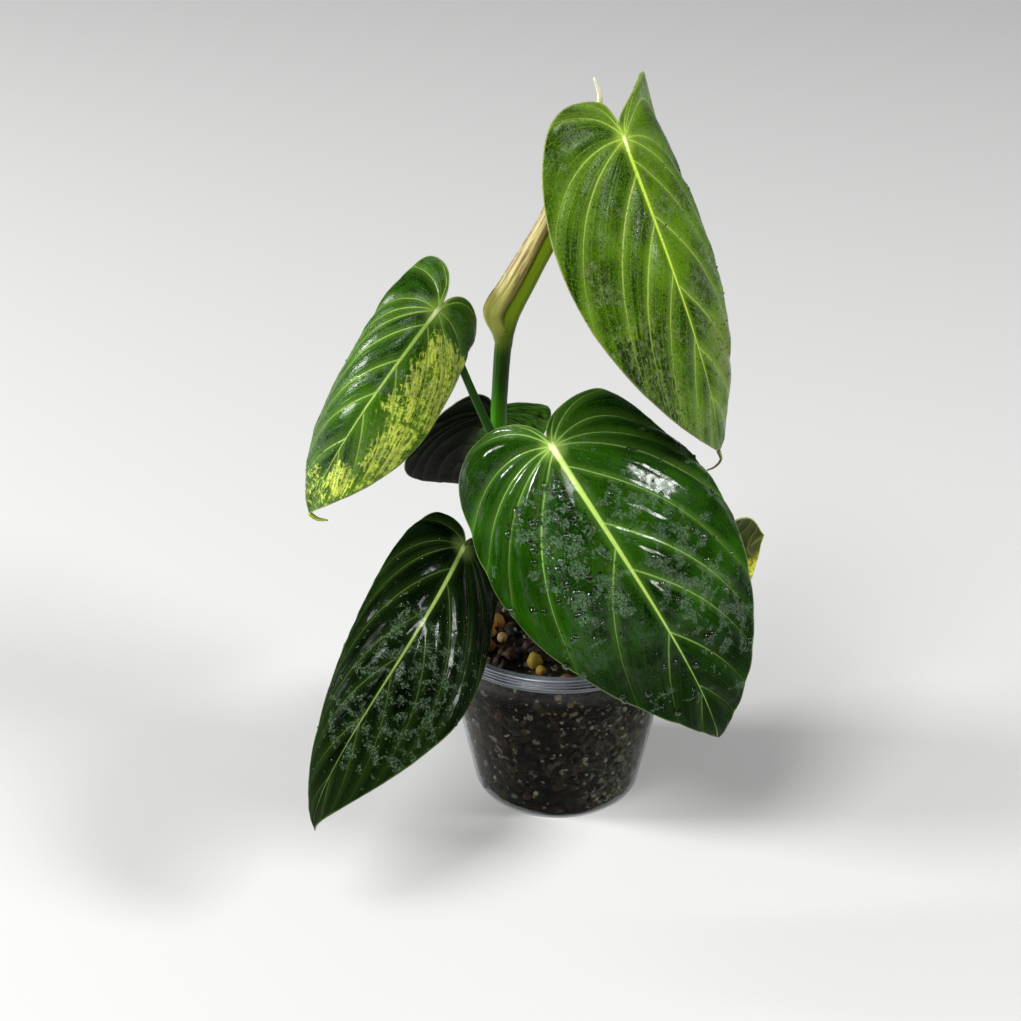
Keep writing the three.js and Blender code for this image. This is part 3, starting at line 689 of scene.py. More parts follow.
class Nodes:
    """A node tree, in which nodes are placed with their settings, values and links."""

    def __init__(self, tree):
        self.tree = tree

    def put(self, kind, values=None, **settings):
        node = self.tree.nodes.new(kind if kind.startswith("Node") else "ShaderNode" + kind)
        for name, value in settings.items():
            setattr(node, name, value)
        self.feed(node, values or {})
        return Outputs(self, node)

    def feed(self, node, values):
        """Links sockets to a node's inputs, and sets plain values on them."""
        for name, value in values.items():
            if isinstance(value, Socket):
                self.tree.links.new(value.socket, node.inputs[name])
            else:
                node.inputs[name].default_value = value

    def use(self, group, values):
        """Places one of the node groups."""
        return self.put("Group", values, node_tree=GROUPS[group])

    def map(self, name):
        """One of the piece's own maps, in millimetres or shares, as a vector."""
        return self.put("UVMap", uv_map=name)[0]

    def stretched(self, name, scale):
        """One of the piece's own maps, scaled along each axis."""
        return self.put("Mapping", {"Vector": self.map(name), "Scale": scale})[0]

    def place(self):
        """The place on the object, in metres, as a vector."""
        return self.put("TexCoord")["Object"]

    def along_veins(self):
        """A vector for streaks that run along the veins, different on the two halves."""
        k = self.map("veins").parts()[0]
        v = self.map("blade").parts()[1]
        r = self.map("reach").parts()[0]
        return self.put("CombineXYZ", {0: k * 2.2, 1: r * 1.6, 2: v.maths("SIGN")})[0]

    def box(self, low_u, high_u, low_v, high_v, soft):
        """A soft-edged box on the flat blade, in millimetres along and across."""
        edges = {"Low U": low_u, "High U": high_u, "Low V": low_v, "High V": high_v, "Soft": soft}
        return self.use("soft_box", edges)["Mask"]


class Material(Nodes):
    """A material with one shader, whose inputs are fed by name."""

    def __init__(self, name):
        self.material = bpy.data.materials.new(name)
        self.material.use_nodes = True
        super().__init__(self.material.node_tree)
        self.shader = self.tree.nodes["Principled BSDF"]

    def done(self, values, height=None, depth=1.0, strength=1.0):
        """Feeds the shader, with a bump of height as deep as depth in millimetres."""
        self.feed(self.shader, values)
        if height:
            bump = self.put("Bump", {"Height": height, "Distance": depth * MM, "Strength": strength})
            self.feed(self.shader, {"Normal": bump[0]})
        return self.material

    def let_lamps_through(self):
        """Mixes in a transparent shader for shadow rays alone."""
        both = self.put("MixShader", {
            0: self.put("LightPath")["Is Shadow Ray"],
            1: Socket(self, self.shader.outputs[0]),
            2: self.put("BsdfTransparent")[0],
        })
        self.feed(self.tree.nodes["Material Output"], {0: both[0]})


def rgb(red, green, blue):
    """A colour given as it is seen, turned into the linear values that shaders take."""
    linear = [((c / 255 + 0.055) / 1.055) ** 2.4 if c > 10 else c / 255 / 12.92 for c in (red, green, blue)]
    return (*linear, 1.0)


def layered(colour, *layers):
    """A colour with tones laid over it in turn, each where its mask says."""
    for mask, tone in layers:
        colour = mask.between(colour, tone)
    return colour


def make_group(name, build, **inputs):
    """A node group with named inputs, whose outputs are the sockets that build gives for them."""
    tree = bpy.data.node_groups.new(name, "ShaderNodeTree")
    for label, value in inputs.items():
        kind = "NodeSocketColor" if isinstance(value, tuple) else "NodeSocketFloat"
        title = label.replace("_", " ").title()
        tree.interface.new_socket(title, in_out="INPUT", socket_type=kind).default_value = value
    nodes = Nodes(tree)
    results = build(nodes, nodes.put("NodeGroupInput"))
    for label in results:
        kind = "NodeSocketColor" if label == "Colour" else "NodeSocketFloat"
        tree.interface.new_socket(label, in_out="OUTPUT", socket_type=kind)
    nodes.feed(tree.nodes.new("NodeGroupOutput"), results)
    GROUPS[name] = tree


def vein_masks(nodes, given):
    """Masks of a blade from its own maps: midrib, veins, glow beside them, fine veins, edge and star."""
    k, gap, _ = nodes.map("veins").parts()
    u, v, _ = nodes.map("blade").parts()
    r, to_margin, _ = nodes.map("reach").parts()
    from_vein = abs(k - round(k)) * gap
    width = given["Vein Width"] * r.ramp(0.0, 1.0, 1.35, 0.55)
    quarter = k * 4.0
    from_fine = abs(quarter - round(quarter)) * gap
    taper = 1.0 - u / given["Length"]
    narrowing = (taper.at_least(0.0) ** 1.4).at_least(0.15)
    from_rib = abs(v) / (given["Midrib Width"] * narrowing)
    ahead = u.ramp(-2.5, 0.5)
    rib_glow = from_rib.ramp(0.6, 3.6, 1.0, 0.0) * ahead
    from_attach = nodes.put("VectorMath", {0: nodes.map("blade")}, operation="LENGTH")["Value"]
    return {
        "Midrib": from_rib.ramp(0.45, 1.0, 1.0, 0.0) * ahead,
        "Veins": (from_vein / width).ramp(0.3, 1.0, 1.0, 0.0),
        "Glow": from_vein.ramp(0.0, 3.4, 1.0, 0.0).at_least(rib_glow),
        "Fine": from_fine.ramp(0.3, 1.2, 1.0, 0.0),
        "Edge": to_margin.ramp(0.15, 0.7, 1.0, 0.0),
        "R": r,
        "Taper": taper,
        "Star": from_attach.ramp(1.0, 7.0, 1.0, 0.0),
    }


def soft_box(nodes, given):
    """A box on the flat blade, along (U) and across (V), whose edges are as soft as Soft."""
    u, v, _ = nodes.map("blade").parts()
    soft = given["Soft"]
    sides = []
    for value, axis in ((u, "U"), (v, "V")):
        low, high = given["Low " + axis], given["High " + axis]
        sides.append(value.ramp(low - soft, low + soft) * value.ramp(high - soft, high + soft, 1.0, 0.0))
    return {"Mask": sides[0] * sides[1]}


def leaf_greens(nodes, given):
    """A leaf's greens: cloudy, in streaks along its veins, with a fine grain and pits."""
    dark, light = given["Dark"], given["Light"]
    flat = nodes.map("blade")
    streaky = nodes.along_veins().noise(2.6, 6, 0.66, 0.5).ramp(0.4, 0.6)
    cloudy = flat.noise(0.035, 3).ramp(0.4, 0.64)
    grain = flat.noise(1.3, 4, 0.65).ramp(0.46, 0.62)
    pits = flat.noise(1.0, 4, 0.65).ramp(0.3, 0.46, 0.55, 0.0)
    colour = streaky.between(dark, given["Mid"])
    return {"Colour": layered(colour, (cloudy * 0.5, light), (grain * 0.4, light), (pits, dark))}


def tone_patches(nodes, given):
    """Ragged flecks and strokes of another tone over the base, where Here is high."""
    here = given["Here"]
    along = nodes.along_veins()
    flecks = nodes.map("blade").noise(0.5, 5, 0.7)
    strokes = along.noise(4.5, 4, 0.62, 0.3)
    start = 0.8 - here * given["Cover"]
    covered = (flecks * 0.5 + strokes * 0.5 - start).ramp(given["Soft"] * -1.0, given["Soft"])
    tint = along.noise(9.0, 3, 0.6).ramp(0.35, 0.7).between(given["Tone"], given["Other Tone"])
    return {"Colour": (covered * here.ramp(0.02, 0.2) * given["Amount"]).between(given["Base"], tint)}


def wet_film(nodes, given):
    """Where a wet film lies in ragged patches, and small beads of water, as two masks."""
    flat = nodes.map("blade")
    spread, start = given["Spread"], given["Start"]
    here = flat.noise(0.05, 2, 0.5).ramp(0.5 - spread, 0.62 - spread).at_least(given["Areas"])
    patches = flat.noise(given["Scale"], 7, 0.66) + here * 0.12
    wet = patches.ramp(start + 0.1, start + 0.14) * here.ramp(0.0, 0.3)
    speckle = flat.noise(1.2, 5, 0.72).ramp(0.47, 0.56, given["Clear"], 1.0)
    strokes = nodes.along_veins().noise(8.0, 4, 0.65).ramp(0.34, 0.5, 0.5, 1.0)
    cells = nodes.put("TexVoronoi", {"Vector": flat, "Scale": given["Beads"]})
    beaded = cells["Color"].parts()[0].maths("GREATER_THAN", given["Bare"])
    bead = cells["Distance"].ramp(0.06, 0.36, 1.0, 0.0) * beaded
    return {"Wet": wet * speckle * strokes, "Bead": bead}


def stalk_greens(nodes, given):
    """A stalk's lengthwise streaks over a change of tone from the foot up."""
    streaks = nodes.stretched("long", (18, 1.5, 1)).noise(1.0, 4, 0.6).ramp(0.38, 0.66)
    climb = nodes.map("long").parts()[1].ramp(given["Climb From"], given["Climb To"])
    colour = layered(climb.between(given["Low"], given["High"]), (streaks * 0.45, given["Streak"]))
    return {"Colour": colour, "Streaks": streaks}


def bit_tones(nodes, given):
    """Loose bits, each with its own tone and all with a fine grain."""
    tone, chance, _ = nodes.map("tone").parts()
    grain = nodes.place().noise(600, 2, 0.6)
    colour = layered(
        tone.between(given["Dark"], given["Light"]),
        (chance.ramp(0.7, 0.8), given["Third"]),
        (grain.ramp(0.35, 0.7, 0.0, 0.45), given["Dark"]),
    )
    return {"Colour": colour, "Grain": grain}


def make_groups():
    """The effects that several materials share."""
    make_group("leaf_veins", vein_masks, vein_width=0.55, midrib_width=1.3, length=130.0)
    make_group("soft_box", soft_box, low_u=0.0, high_u=1.0, low_v=0.0, high_v=1.0, soft=1.0)
    make_group("leaf_greens", leaf_greens, dark=BLACK, mid=BLACK, light=BLACK)
    make_group(
        "tone_patches", tone_patches,
        base=BLACK, here=0.0, cover=0.3, soft=0.05, amount=1.0, tone=BLACK, other_tone=BLACK,
    )
    make_group(
        "wet_film", wet_film, areas=0.0, start=0.5, spread=0.0, beads=0.95, bare=0.6, scale=0.6, clear=0.2
    )
    make_group(
        "stalk_greens", stalk_greens, low=BLACK, high=BLACK, streak=BLACK, climb_from=0.0, climb_to=1.0
    )
    make_group("bit_tones", bit_tones, dark=BLACK, light=BLACK, third=BLACK)


def upper_material(
    name, length, greens, vein, midrib, edge, film, roughness=(0.2, 0.4), gloss=0.35, areas=(), coat=None
):
    """The upper face of a leaf: greens along the veins, pale veins and edge, wet film whose grey tone is
    partly painted sheen, and beads.
    """
    look = Material(name)
    flat = look.map("blade")
    masks = look.use("leaf_veins", {
        "Length": length, "Vein Width": vein["width"], "Midrib Width": midrib["width"]
    })
    dark, mid, light = greens
    colour = look.use("leaf_greens", {"Dark": dark, "Mid": mid, "Light": light})["Colour"]
    glow = [lerp(a, b, 0.3) for a, b in zip(light, vein["colour"])]
    colour = (masks["Glow"] * vein["glow"]).between(colour, glow)
    for where, values in areas:
        colour = look.use("tone_patches", {"Base": colour, "Here": look.box(*where), **values})["Colour"]

    wetted = dict(film["values"])
    for where in film["areas"]:
        here = look.box(*where)
        wetted["Areas"] = here.at_least(wetted["Areas"]) if "Areas" in wetted else here
    water = look.use("wet_film", wetted)
    wet, bead = water["Wet"], water["Bead"]
    fade = masks["R"].ramp(0.25, 1.0, 1.0, 0.25) * masks["Taper"].ramp(0.1, 0.6, 0.45, 1.0)
    lines = masks["Veins"] * fade * vein["amount"]
    rib = masks["Taper"].ramp(0.05, 0.75).between(vein["colour"], midrib["colour"])
    colour = layered(
        colour,
        # The wet film's grey tone is partly a painted sheen
        (wet * film["amount"], film["colour"]),
        (masks["Fine"] * vein["fine"], light),
        (lines, vein["colour"]),
        # Painted shade: the green darkens under each small bead of water
        (bead * 0.3, dark),
        (masks["Star"] * 0.45, midrib["colour"]),
        (masks["Midrib"], masks["Star"].between(rib, midrib["star"])),
        (masks["Edge"] * 0.7, edge),
    )

    worn = flat.noise(0.09, 4, 0.6).ramp(0.4, 0.62)
    glossy = (worn * 0.8).at_least(wet.at_least(bead))
    wettest, driest = roughness
    values = {
        "Base Color": colour,
        "Roughness": glossy * (wettest - driest) + driest,
        "Specular IOR Level": gloss,
    }
    if coat:
        ragged = flat.noise(0.4, 5, 0.72).ramp(0.42, 0.54, 0.3, 1.0)
        shine = (glossy * (1 - coat["dry"]) + coat["dry"]) * look.box(*coat["where"]) * ragged
        values["Coat Weight"] = shine * coat["weight"]
        values["Coat Roughness"] = coat["roughness"]
    height = bead * 0.3 + flat.noise(0.5, 4, 0.65) * 0.16 + wet * 0.1
    height = height + lines * -0.16 + masks["Fine"] * -0.06 + masks["Midrib"] * 0.3
    return look.done(values, height, strength=0.9)


def under_material(name, length, dark, light, vein, edge, areas=(), gloss=0.2):
    """The underside of a leaf: duller, with raised paler veins."""
    look = Material(name)
    masks = look.use("leaf_veins", {"Length": length, "Vein Width": 0.6, "Midrib Width": 1.6})
    flat = look.map("blade")
    patches = []
    for where, tone in areas:
        streaks = look.along_veins().noise(3.0, 5, 0.65).ramp(0.36, 0.6, 0.15, 1.0)
        patches.append((look.box(*where) * streaks, tone))
    colour = layered(
        flat.noise(0.06, 4, 0.6).ramp(0.35, 0.65).between(dark, light),
        (masks["Fine"] * 0.25, light),
        *patches,
        (masks["Veins"] * 0.7, vein),
        (masks["Midrib"], vein),
        (masks["Edge"] * 0.8, edge),
    )
    height = flat.noise(0.7, 4, 0.6) + masks["Veins"] * 0.2
    values = {"Base Color": colour, "Roughness": 0.6, "Specular IOR Level": gloss}
    return look.done(values, height, strength=0.5)


def film_look(colour, amount, areas=(), **values):
    """A wet film: its tone, which is partly a painted sheen, its strength, the boxes where it lies, and what
    its group is given.
    """
    return dict(
        colour=colour, amount=amount, areas=areas,
        values={name.title(): value for name, value in values.items()},
    )


def area(where, cover, soft, amount, tone, other):
    """Another tone in a soft-edged box of the flat blade."""
    return where, {"Cover": cover, "Soft": soft, "Amount": amount, "Tone": tone, "Other Tone": other}


def yellow(where, cover, amount=0.97):
    """Yellow variegation in a soft-edged box of the flat blade."""
    return area(where, cover, 0.05, amount, rgb(238, 246, 112), rgb(162, 194, 34))


def leaf_looks():
    """The upper and under materials of each blade."""
    # A wet film's grey tone, partly a painted sheen
    film_sheen_grey = rgb(96, 118, 96)
    star = rgb(236, 246, 176)
    uppers = {
        "a": dict(
            greens=(rgb(16, 38, 2), rgb(44, 76, 5), rgb(104, 144, 22)),
            vein=dict(colour=rgb(166, 194, 86), width=0.4, amount=0.72, glow=0.42, fine=0.25),
            midrib=dict(colour=rgb(190, 222, 70), width=1.35, star=star), edge=rgb(160, 170, 104),
            film=film_look(
                rgb(140, 158, 104), 0.45, [(54, 108, 12, 36, 8)], beads=1.15, bare=0.35, scale=0.4
            ),
            areas=(
                area((56, 108, 13, 40, 8), 0.33, 0.05, 0.9, rgb(8, 24, 3), rgb(18, 40, 5)),
                area((-16, 56, 8, 40, 9), 0.27, 0.1, 0.35, rgb(26, 46, 4), rgb(48, 72, 8)),
                area((70, 128, -34, -5, 7), 0.3, 0.05, 0.5, rgb(116, 118, 20), rgb(90, 100, 22)),
            ),
            roughness=(0.12, 0.36), gloss=0.12,
        ),
        "b": dict(
            greens=(rgb(8, 30, 2), rgb(28, 64, 4), rgb(64, 110, 14)),
            vein=dict(colour=rgb(150, 186, 84), width=0.34, amount=0.75, glow=0.35, fine=0.16),
            midrib=dict(colour=rgb(160, 196, 84), width=1.05, star=star), edge=rgb(160, 176, 96),
            film=film_look(film_sheen_grey, 0.5, [(50, 72, -34, -14, 5)], scale=0.25),
            areas=(
                area((2, 92, -32, -5, 8), 0.42, 0.2, 0.5, rgb(132, 172, 26), rgb(72, 120, 12)),
                yellow((2, 44, -32, -2, 6), 0.325),
                yellow((38, 68, -25, -7, 5), 0.315),
                yellow((66, 84, -12, 1, 4), 0.33),
                yellow((58, 90, -34, -8, 6), 0.26),
                yellow((74, 100, -10, 10, 4), 0.25, 0.85),
            ),
            roughness=(0.08, 0.3), gloss=0.16,
        ),
        "c": dict(
            greens=(rgb(3, 18, 1), rgb(13, 46, 4), rgb(46, 92, 10)),
            vein=dict(colour=rgb(136, 176, 84), width=0.36, amount=0.8, glow=0.4, fine=0.14),
            midrib=dict(colour=rgb(176, 208, 98), width=1.6, star=star), edge=rgb(130, 160, 90),
            film=film_look(
                rgb(122, 146, 118), 0.46, [(8, 66, 3, 28, 6), (20, 106, -34, -5, 8)],
                start=0.51, spread=-0.04, bare=0.7, scale=0.16,
            ),
            areas=(
                area((10, 100, 22, 60, 9), 0.5, 0.2, 0.5, rgb(34, 78, 3), rgb(18, 54, 2)),
                area((80, 160, -40, 60, 14), 0.5, 0.25, 0.72, rgb(2, 16, 1), rgb(8, 34, 3)),
            ),
            roughness=(0.05, 0.2), gloss=0.015,
            coat=dict(where=(-40, 92, -60, 44, 16), weight=0.7, dry=0.22, roughness=0.09),
        ),
        "d": dict(
            greens=(rgb(1, 4, 1), rgb(3, 12, 1), rgb(14, 34, 4)),
            vein=dict(colour=rgb(80, 110, 48), width=0.32, amount=0.5, glow=0.28, fine=0.05),
            midrib=dict(colour=rgb(146, 168, 90), width=1.2, star=rgb(206, 226, 130)),
            edge=rgb(110, 130, 76),
            film=film_look(
                rgb(102, 126, 98), 0.6, [(34, 98, -30, 14, 9)],
                start=0.52, spread=-0.18, scale=0.22, clear=0.1,
            ),
            roughness=(0.07, 0.26), gloss=0.015,
            coat=dict(where=(-20, 60, -30, 30, 12), weight=0.35, dry=0.1, roughness=0.07),
        ),
        "e": dict(
            greens=(rgb(5, 20, 4), rgb(16, 42, 10), rgb(44, 84, 30)),
            vein=dict(colour=rgb(120, 156, 76), width=0.36, amount=0.7, glow=0.3, fine=0.12),
            midrib=dict(colour=rgb(150, 184, 84), width=1.2, star=star), edge=rgb(120, 140, 80),
            film=film_look(film_sheen_grey, 0.4, scale=0.25),
            gloss=0.2,
        ),
        "f": dict(
            greens=(rgb(24, 48, 10), rgb(48, 76, 16), rgb(86, 116, 36)),
            vein=dict(colour=rgb(150, 172, 88), width=0.36, amount=0.7, glow=0.3, fine=0.12),
            midrib=dict(colour=rgb(170, 196, 90), width=1.0, star=star), edge=rgb(150, 168, 96),
            film=film_look(film_sheen_grey, 0.4, scale=0.25),
        ),
    }
    green = dict(
        dark=rgb(66, 82, 34), light=rgb(90, 106, 48), vein=rgb(136, 152, 82), edge=rgb(150, 166, 100)
    )
    brown = dict(
        dark=rgb(4, 7, 1), light=rgb(12, 18, 3), vein=rgb(34, 44, 16), edge=rgb(96, 110, 56), gloss=0.04
    )
    lit_side = ((-18, 34, 3, 34, 5), rgb(96, 158, 40))
    yellow_corner = ((30, 60, -26, -7, 3), rgb(228, 224, 56))
    unders = {
        "a": green,
        "b": green,
        "c": green,
        "d": brown,
        "e": dict(brown, areas=[lit_side]),
        "f": dict(
            dark=rgb(34, 46, 6), light=rgb(62, 70, 10), vein=rgb(92, 98, 30), edge=rgb(196, 200, 90),
            gloss=0.1, areas=[yellow_corner],
        ),
    }
    return {
        letter: (
            upper_material(LEAF_SLOTS[letter] + "_upper", leaf["length"], **uppers[letter]),
            under_material("leaf_under_" + letter, leaf["length"], **unders[letter]),
        )
        for letter, leaf in LEAVES.items()
    }


def stalk_material(name, low, high, streak, roughness=0.4, collar=None, climb=(0.1, 0.95)):
    """A stalk, with a collar of another tone where one is given."""
    look = Material(name)
    greens = look.use("stalk_greens", {
        "Low": low, "High": high, "Streak": streak, "Climb From": climb[0], "Climb To": climb[1]
    })
    colour = greens["Colour"]
    if collar:
        colour = look.map("long").parts()[1].ramp(*collar["where"]).between(colour, collar["colour"])
    values = {"Base Color": colour, "Roughness": roughness, "Specular IOR Level": 0.15}
    return look.done(values, greens["Streaks"], depth=0.12, strength=0.6)


def sheath_material():
    """The dried sheath: cream and pinkish tan, with painted shade down its side next to leaf a's stalk, paler
    at its point.
    """
    look = Material("sheath_dry")
    angle, along, _ = look.map("long").parts()
    fibres = look.stretched("long", (16, 5, 1)).noise(1.0, 6, 0.7, 0.4)
    blotches = look.place().noise(160, 4, 0.6).ramp(0.42, 0.62)
    colour = layered(
        fibres.ramp(0.36, 0.6).between(rgb(96, 74, 34), rgb(196, 184, 112)),
        (blotches * 0.35, rgb(160, 122, 72)),
        (along.ramp(0.06, 0.36, 1.0, 0.0) * 0.85, rgb(160, 168, 56)),
        # Painted shade: darker brown on the sheath's side next to leaf a's stalk
        (angle.ramp(0.3, 0.42) * 0.7, rgb(96, 78, 26)),
        (along.ramp(0.03, 0.1, 1.0, 0.0), rgb(92, 112, 24)),
        (along.ramp(0.84, 0.97), rgb(228, 226, 196)),
    )
    return look.done({"Base Color": colour, "Roughness": 0.55}, fibres, depth=0.3, strength=0.8)


def water_material():
    """Water, which lets the lamps' light through and is tinted to darken the leaf under it a little, a
    painted shade for the drops' dark rims.
    """
    look = Material("water")
    look.let_lamps_through()
    return look.done({
        # Painted shade: the grey-green tint darkens the leaf seen through each drop
        "Base Color": rgb(126, 146, 118), "Roughness": 0.02, "IOR": 1.5, "Transmission Weight": 1.0
    })


def pot_material():
    """Thin clear plastic with fine scuffs and patches of condensation."""
    look = Material("pot_clear")
    look.let_lamps_through()
    mist = look.place().noise(45, 5, 0.65).ramp(0.48, 0.66)
    values = {
        "Base Color": rgb(188, 191, 193),
        "Roughness": mist * 0.06 + 0.02,
        "IOR": 1.09,
        "Transmission Weight": 1.0,
    }
    return look.done(values, look.place().noise(400, 3, 0.6), depth=0.05, strength=0.15)


def lip_material():
    """The lip's thicker plastic, milky grey, with a painted highlight line along each of its ridges."""
    look = Material("pot_lip")
    look.let_lamps_through()
    height = look.place().parts()[2]
    # Painted highlight: a paler line along each of the lip's ridges
    ridge_highlight = (height * (2 * pi / (LIP_PITCH * MM))).maths("SINE").ramp(0.5, 0.95, 0.0, 0.6)
    cloud = look.place().noise(60, 4, 0.6).ramp(0.35, 0.65)
    colour = ridge_highlight.between(cloud.between(rgb(66, 71, 78), rgb(104, 110, 118)), rgb(186, 192, 198))
    return look.done({"Base Color": colour, "Roughness": 0.18, "IOR": 1.49, "Transmission Weight": 0.4})


def soil_material():
    """Damp potting mix: near black, with brown, mossy and mineral grains."""
    look = Material("soil_damp")
    place = look.place()
    tone, brown, mineral = look.put("TexVoronoi", {"Vector": place, "Scale": 380.0})["Color"].parts()
    moss = place.noise(55, 4, 0.6).ramp(0.58, 0.7)
    # Pale wisps, stronger towards the right: condensation on the pot's wall together with a painted
    # reflection, laid on the soil
    condensation_and_reflection = place.noise(110, 6, 0.72, 1.6).ramp(0.47, 0.66)
    to_the_right = place.parts()[0].ramp(0.0, 0.034, 0.12, 0.9)
    colour = layered(
        tone.between(rgb(8, 6, 3), rgb(28, 20, 9)),
        (brown.ramp(0.84, 0.9), rgb(58, 42, 22)),
        (mineral.ramp(0.93, 0.96), rgb(110, 106, 96)),
        (moss * 0.5, rgb(38, 38, 12)),
        (condensation_and_reflection * to_the_right, rgb(112, 112, 84)),
    )
    values = {"Base Color": colour, "Roughness": 0.75, "Specular IOR Level": 0.15}
    return look.done(values, place.noise(600, 1, 0.5), depth=0.4, strength=0.5)


def bits_material(name, dark, light, third):
    """Loose bits of one kind."""
    look = Material(name)
    tones = look.use("bit_tones", {"Dark": dark, "Light": light, "Third": third})
    values = {"Base Color": tones["Colour"], "Roughness": 0.7, "Specular IOR Level": 0.25}
    return look.done(values, tones["Grain"], depth=0.3, strength=0.6)


def wall_r(z):
    """Radius of the pot's outer wall at a height."""
    return lerp(POT_FOOT_R, POT_TOP_R, (z - POT_CORNER) / (LIP_Z - POT_CORNER))


def soil_r(z):
    """Radius of the soil's side at a height."""
    return wall_r(z) - POT_WALL - SOIL_GAP


def soil_top(r):
    """Height of the soil's mound at a radius."""
    return lerp(SOIL_CROWN_Z, SOIL_EDGE_Z, (r / POT_TOP_R) ** 2)


def around(r, angle, z):
    """A place given by its distance from the upright axis, its angle and its height."""
    return Vector((r * cos(angle), r * sin(angle), z))


def arc(x, z, radius, start, end, count):
    """Points of a profile's round corner, its angles in degrees."""
    angles = [radians(lerp(start, end, i / (count - 1))) for i in range(count)]
    return [(x + radius * cos(a), z + radius * sin(a)) for a in angles]


def spun(profile, steps):
    """A bmesh of a profile in millimetres, turned once about the upright axis."""
    bm = bmesh.new()
    verts = [bm.verts.new((x * MM, 0, z * MM)) for x, z in profile]
    edges = [bm.edges.new(pair) for pair in zip(verts, verts[1:])]
    bmesh.ops.spin(
        bm, geom=verts + edges, cent=(0, 0, 0), axis=(0, 0, 1), angle=2 * pi, steps=steps, use_merge=True
    )
    bmesh.ops.remove_doubles(bm, verts=bm.verts, dist=MERGE_SPUN)
    bmesh.ops.recalc_face_normals(bm, faces=bm.faces)
    for face in bm.faces:
        face.smooth = True
    return bm


def make_pot(clear, lip):
    """The clear pot: tapered wall, round foot, drain holes, and a lip with fine ridges round it."""
    inner = POT_TOP_R - POT_WALL
    foot_x = POT_FOOT_R - POT_CORNER
    outside = [(0, 0)] + [(DRAIN_RING_R + side * (DRAIN_R + DRAIN_MARGIN), 0) for side in (-1, 1)]
    outside += arc(foot_x, POT_CORNER, POT_CORNER, -90, 0, 6)
    outside += [(wall_r(z), z) for z in (*WALL_RINGS_Z, LIP_Z)]
    outside += [(LIP_R - 0.9, LIP_Z)]
    for k in range(LIP_RIDGES):
        outside += arc(LIP_R - 1.1, LIP_Z + 1 + (k + 0.5) * LIP_PITCH, LIP_PITCH / 2, -85, 85, 9)
    top = arc(LIP_R - 1.4, POT_HEIGHT - 1.3, 1.3, 20, 90, 5)
    top += arc(inner + 1, POT_HEIGHT - 1, 1, 90, 180, 5)
    inside = [(inner, LIP_Z)] + [(wall_r(z) - POT_WALL, z) for z in reversed(WALL_RINGS_Z)]
    inside += arc(foot_x, POT_CORNER, POT_CORNER - POT_WALL, 0, -90, 5) + [(0, POT_WALL)]
    bm = spun(outside + top + inside, POT_STEPS)
    for face in bm.faces:
        face.material_index = 1 if face.calc_center_median().z > LIP_Z * MM else 0
    piece = finish_piece("nursery_pot", bm, (clear, lip), ("pot",))
    cutters = bmesh.new()
    for k in range(DRAIN_COUNT):
        at = around(DRAIN_RING_R * MM, 2 * pi * (k + 0.5) / DRAIN_COUNT, 0)
        bmesh.ops.create_cone(
            cutters, cap_ends=True, segments=DRAIN_SIDES, radius1=DRAIN_R * MM, radius2=DRAIN_R * MM,
            depth=CUTTER_DEPTH * MM, matrix=Matrix.Translation(at),
        )
    cut_holes(piece, cutters)


def cut_holes(piece, cutters):
    """Cuts a bmesh's solids out of a piece's mesh."""
    cutter = add_object("cutter", mesh_of("cutter", cutters))
    modifier = piece.modifiers.new("holes", "BOOLEAN")
    modifier.object = cutter
    modifier.operation = "DIFFERENCE"
    modifier.solver = "EXACT"
    cut = bpy.data.meshes.new_from_object(piece.evaluated_get(bpy.context.evaluated_depsgraph_get()))
    piece.modifiers.remove(modifier)
    whole, piece.data = piece.data, cut
    cut.name = piece.name
    spent = cutter.data
    bpy.data.objects.remove(cutter)
    for mesh in (whole, spent):
        bpy.data.meshes.remove(mesh)


def make_soil(material):
    """The soil plug: rough where it meets the wall, lumpy on top."""
    foot = [(r, POT_WALL + SOIL_GAP) for r in np.linspace(0, POT_FOOT_R - POT_CORNER - 1, 10)]
    side = [(soil_r(z), z) for z in np.linspace(3, SOIL_EDGE_Z, 56)]
    top = [(r, soil_top(r)) for r in np.linspace(side[-1][0], 0, 36)][1:]
    bm = spun(foot + side + top, SOIL_STEPS)
    bm.normal_update()
    for vert in bm.verts:
        spot = vert.co * LUMPS_PER_METRE
        lumps = noise.noise(spot) * 0.5 + noise.noise(spot * 2.3) * 0.3
        if vert.co.z > (SOIL_EDGE_Z + 0.2) * MM:
            vert.co.z += (lumps - 0.35) * LUMP_MM * MM
        elif vert.co.z > 2 * MM:
            outward = Vector((vert.co.x, vert.co.y, 0)).normalized()
            vert.co -= outward * unit(lumps * 1.6 + 0.2) * HOLLOW_MM * MM
    finish_piece("soil_plug", bm, (material,), ("soil",))


def add_bit(bm, tone_map, rand, place, size, squash, turn, rough, subdivisions=2, tone=None):
    """Adds one loose bit: a rounded lump, squashed and turned, with its own tone."""
    scale = Matrix.Diagonal((1, squash[0], squash[1], 1))
    matrix = Matrix.Translation(place) @ turn.to_4x4() @ scale
    made = bmesh.ops.create_icosphere(bm, subdivisions=subdivisions, radius=size * MM, matrix=matrix)
    seed = Vector([rand.random() * 50 for _ in range(3)])
    for vert in made["verts"]:
        out = vert.co - place
        vert.co += out * rough * noise.noise(out.normalized() * 1.3 + seed) * 2
    tone = tone or (rand.random(), rand.random())
    for face in {face for vert in made["verts"] for face in vert.link_faces}:
        face.smooth = subdivisions > 1
        for loop in face.loops:
            loop[tone_map].uv = tone


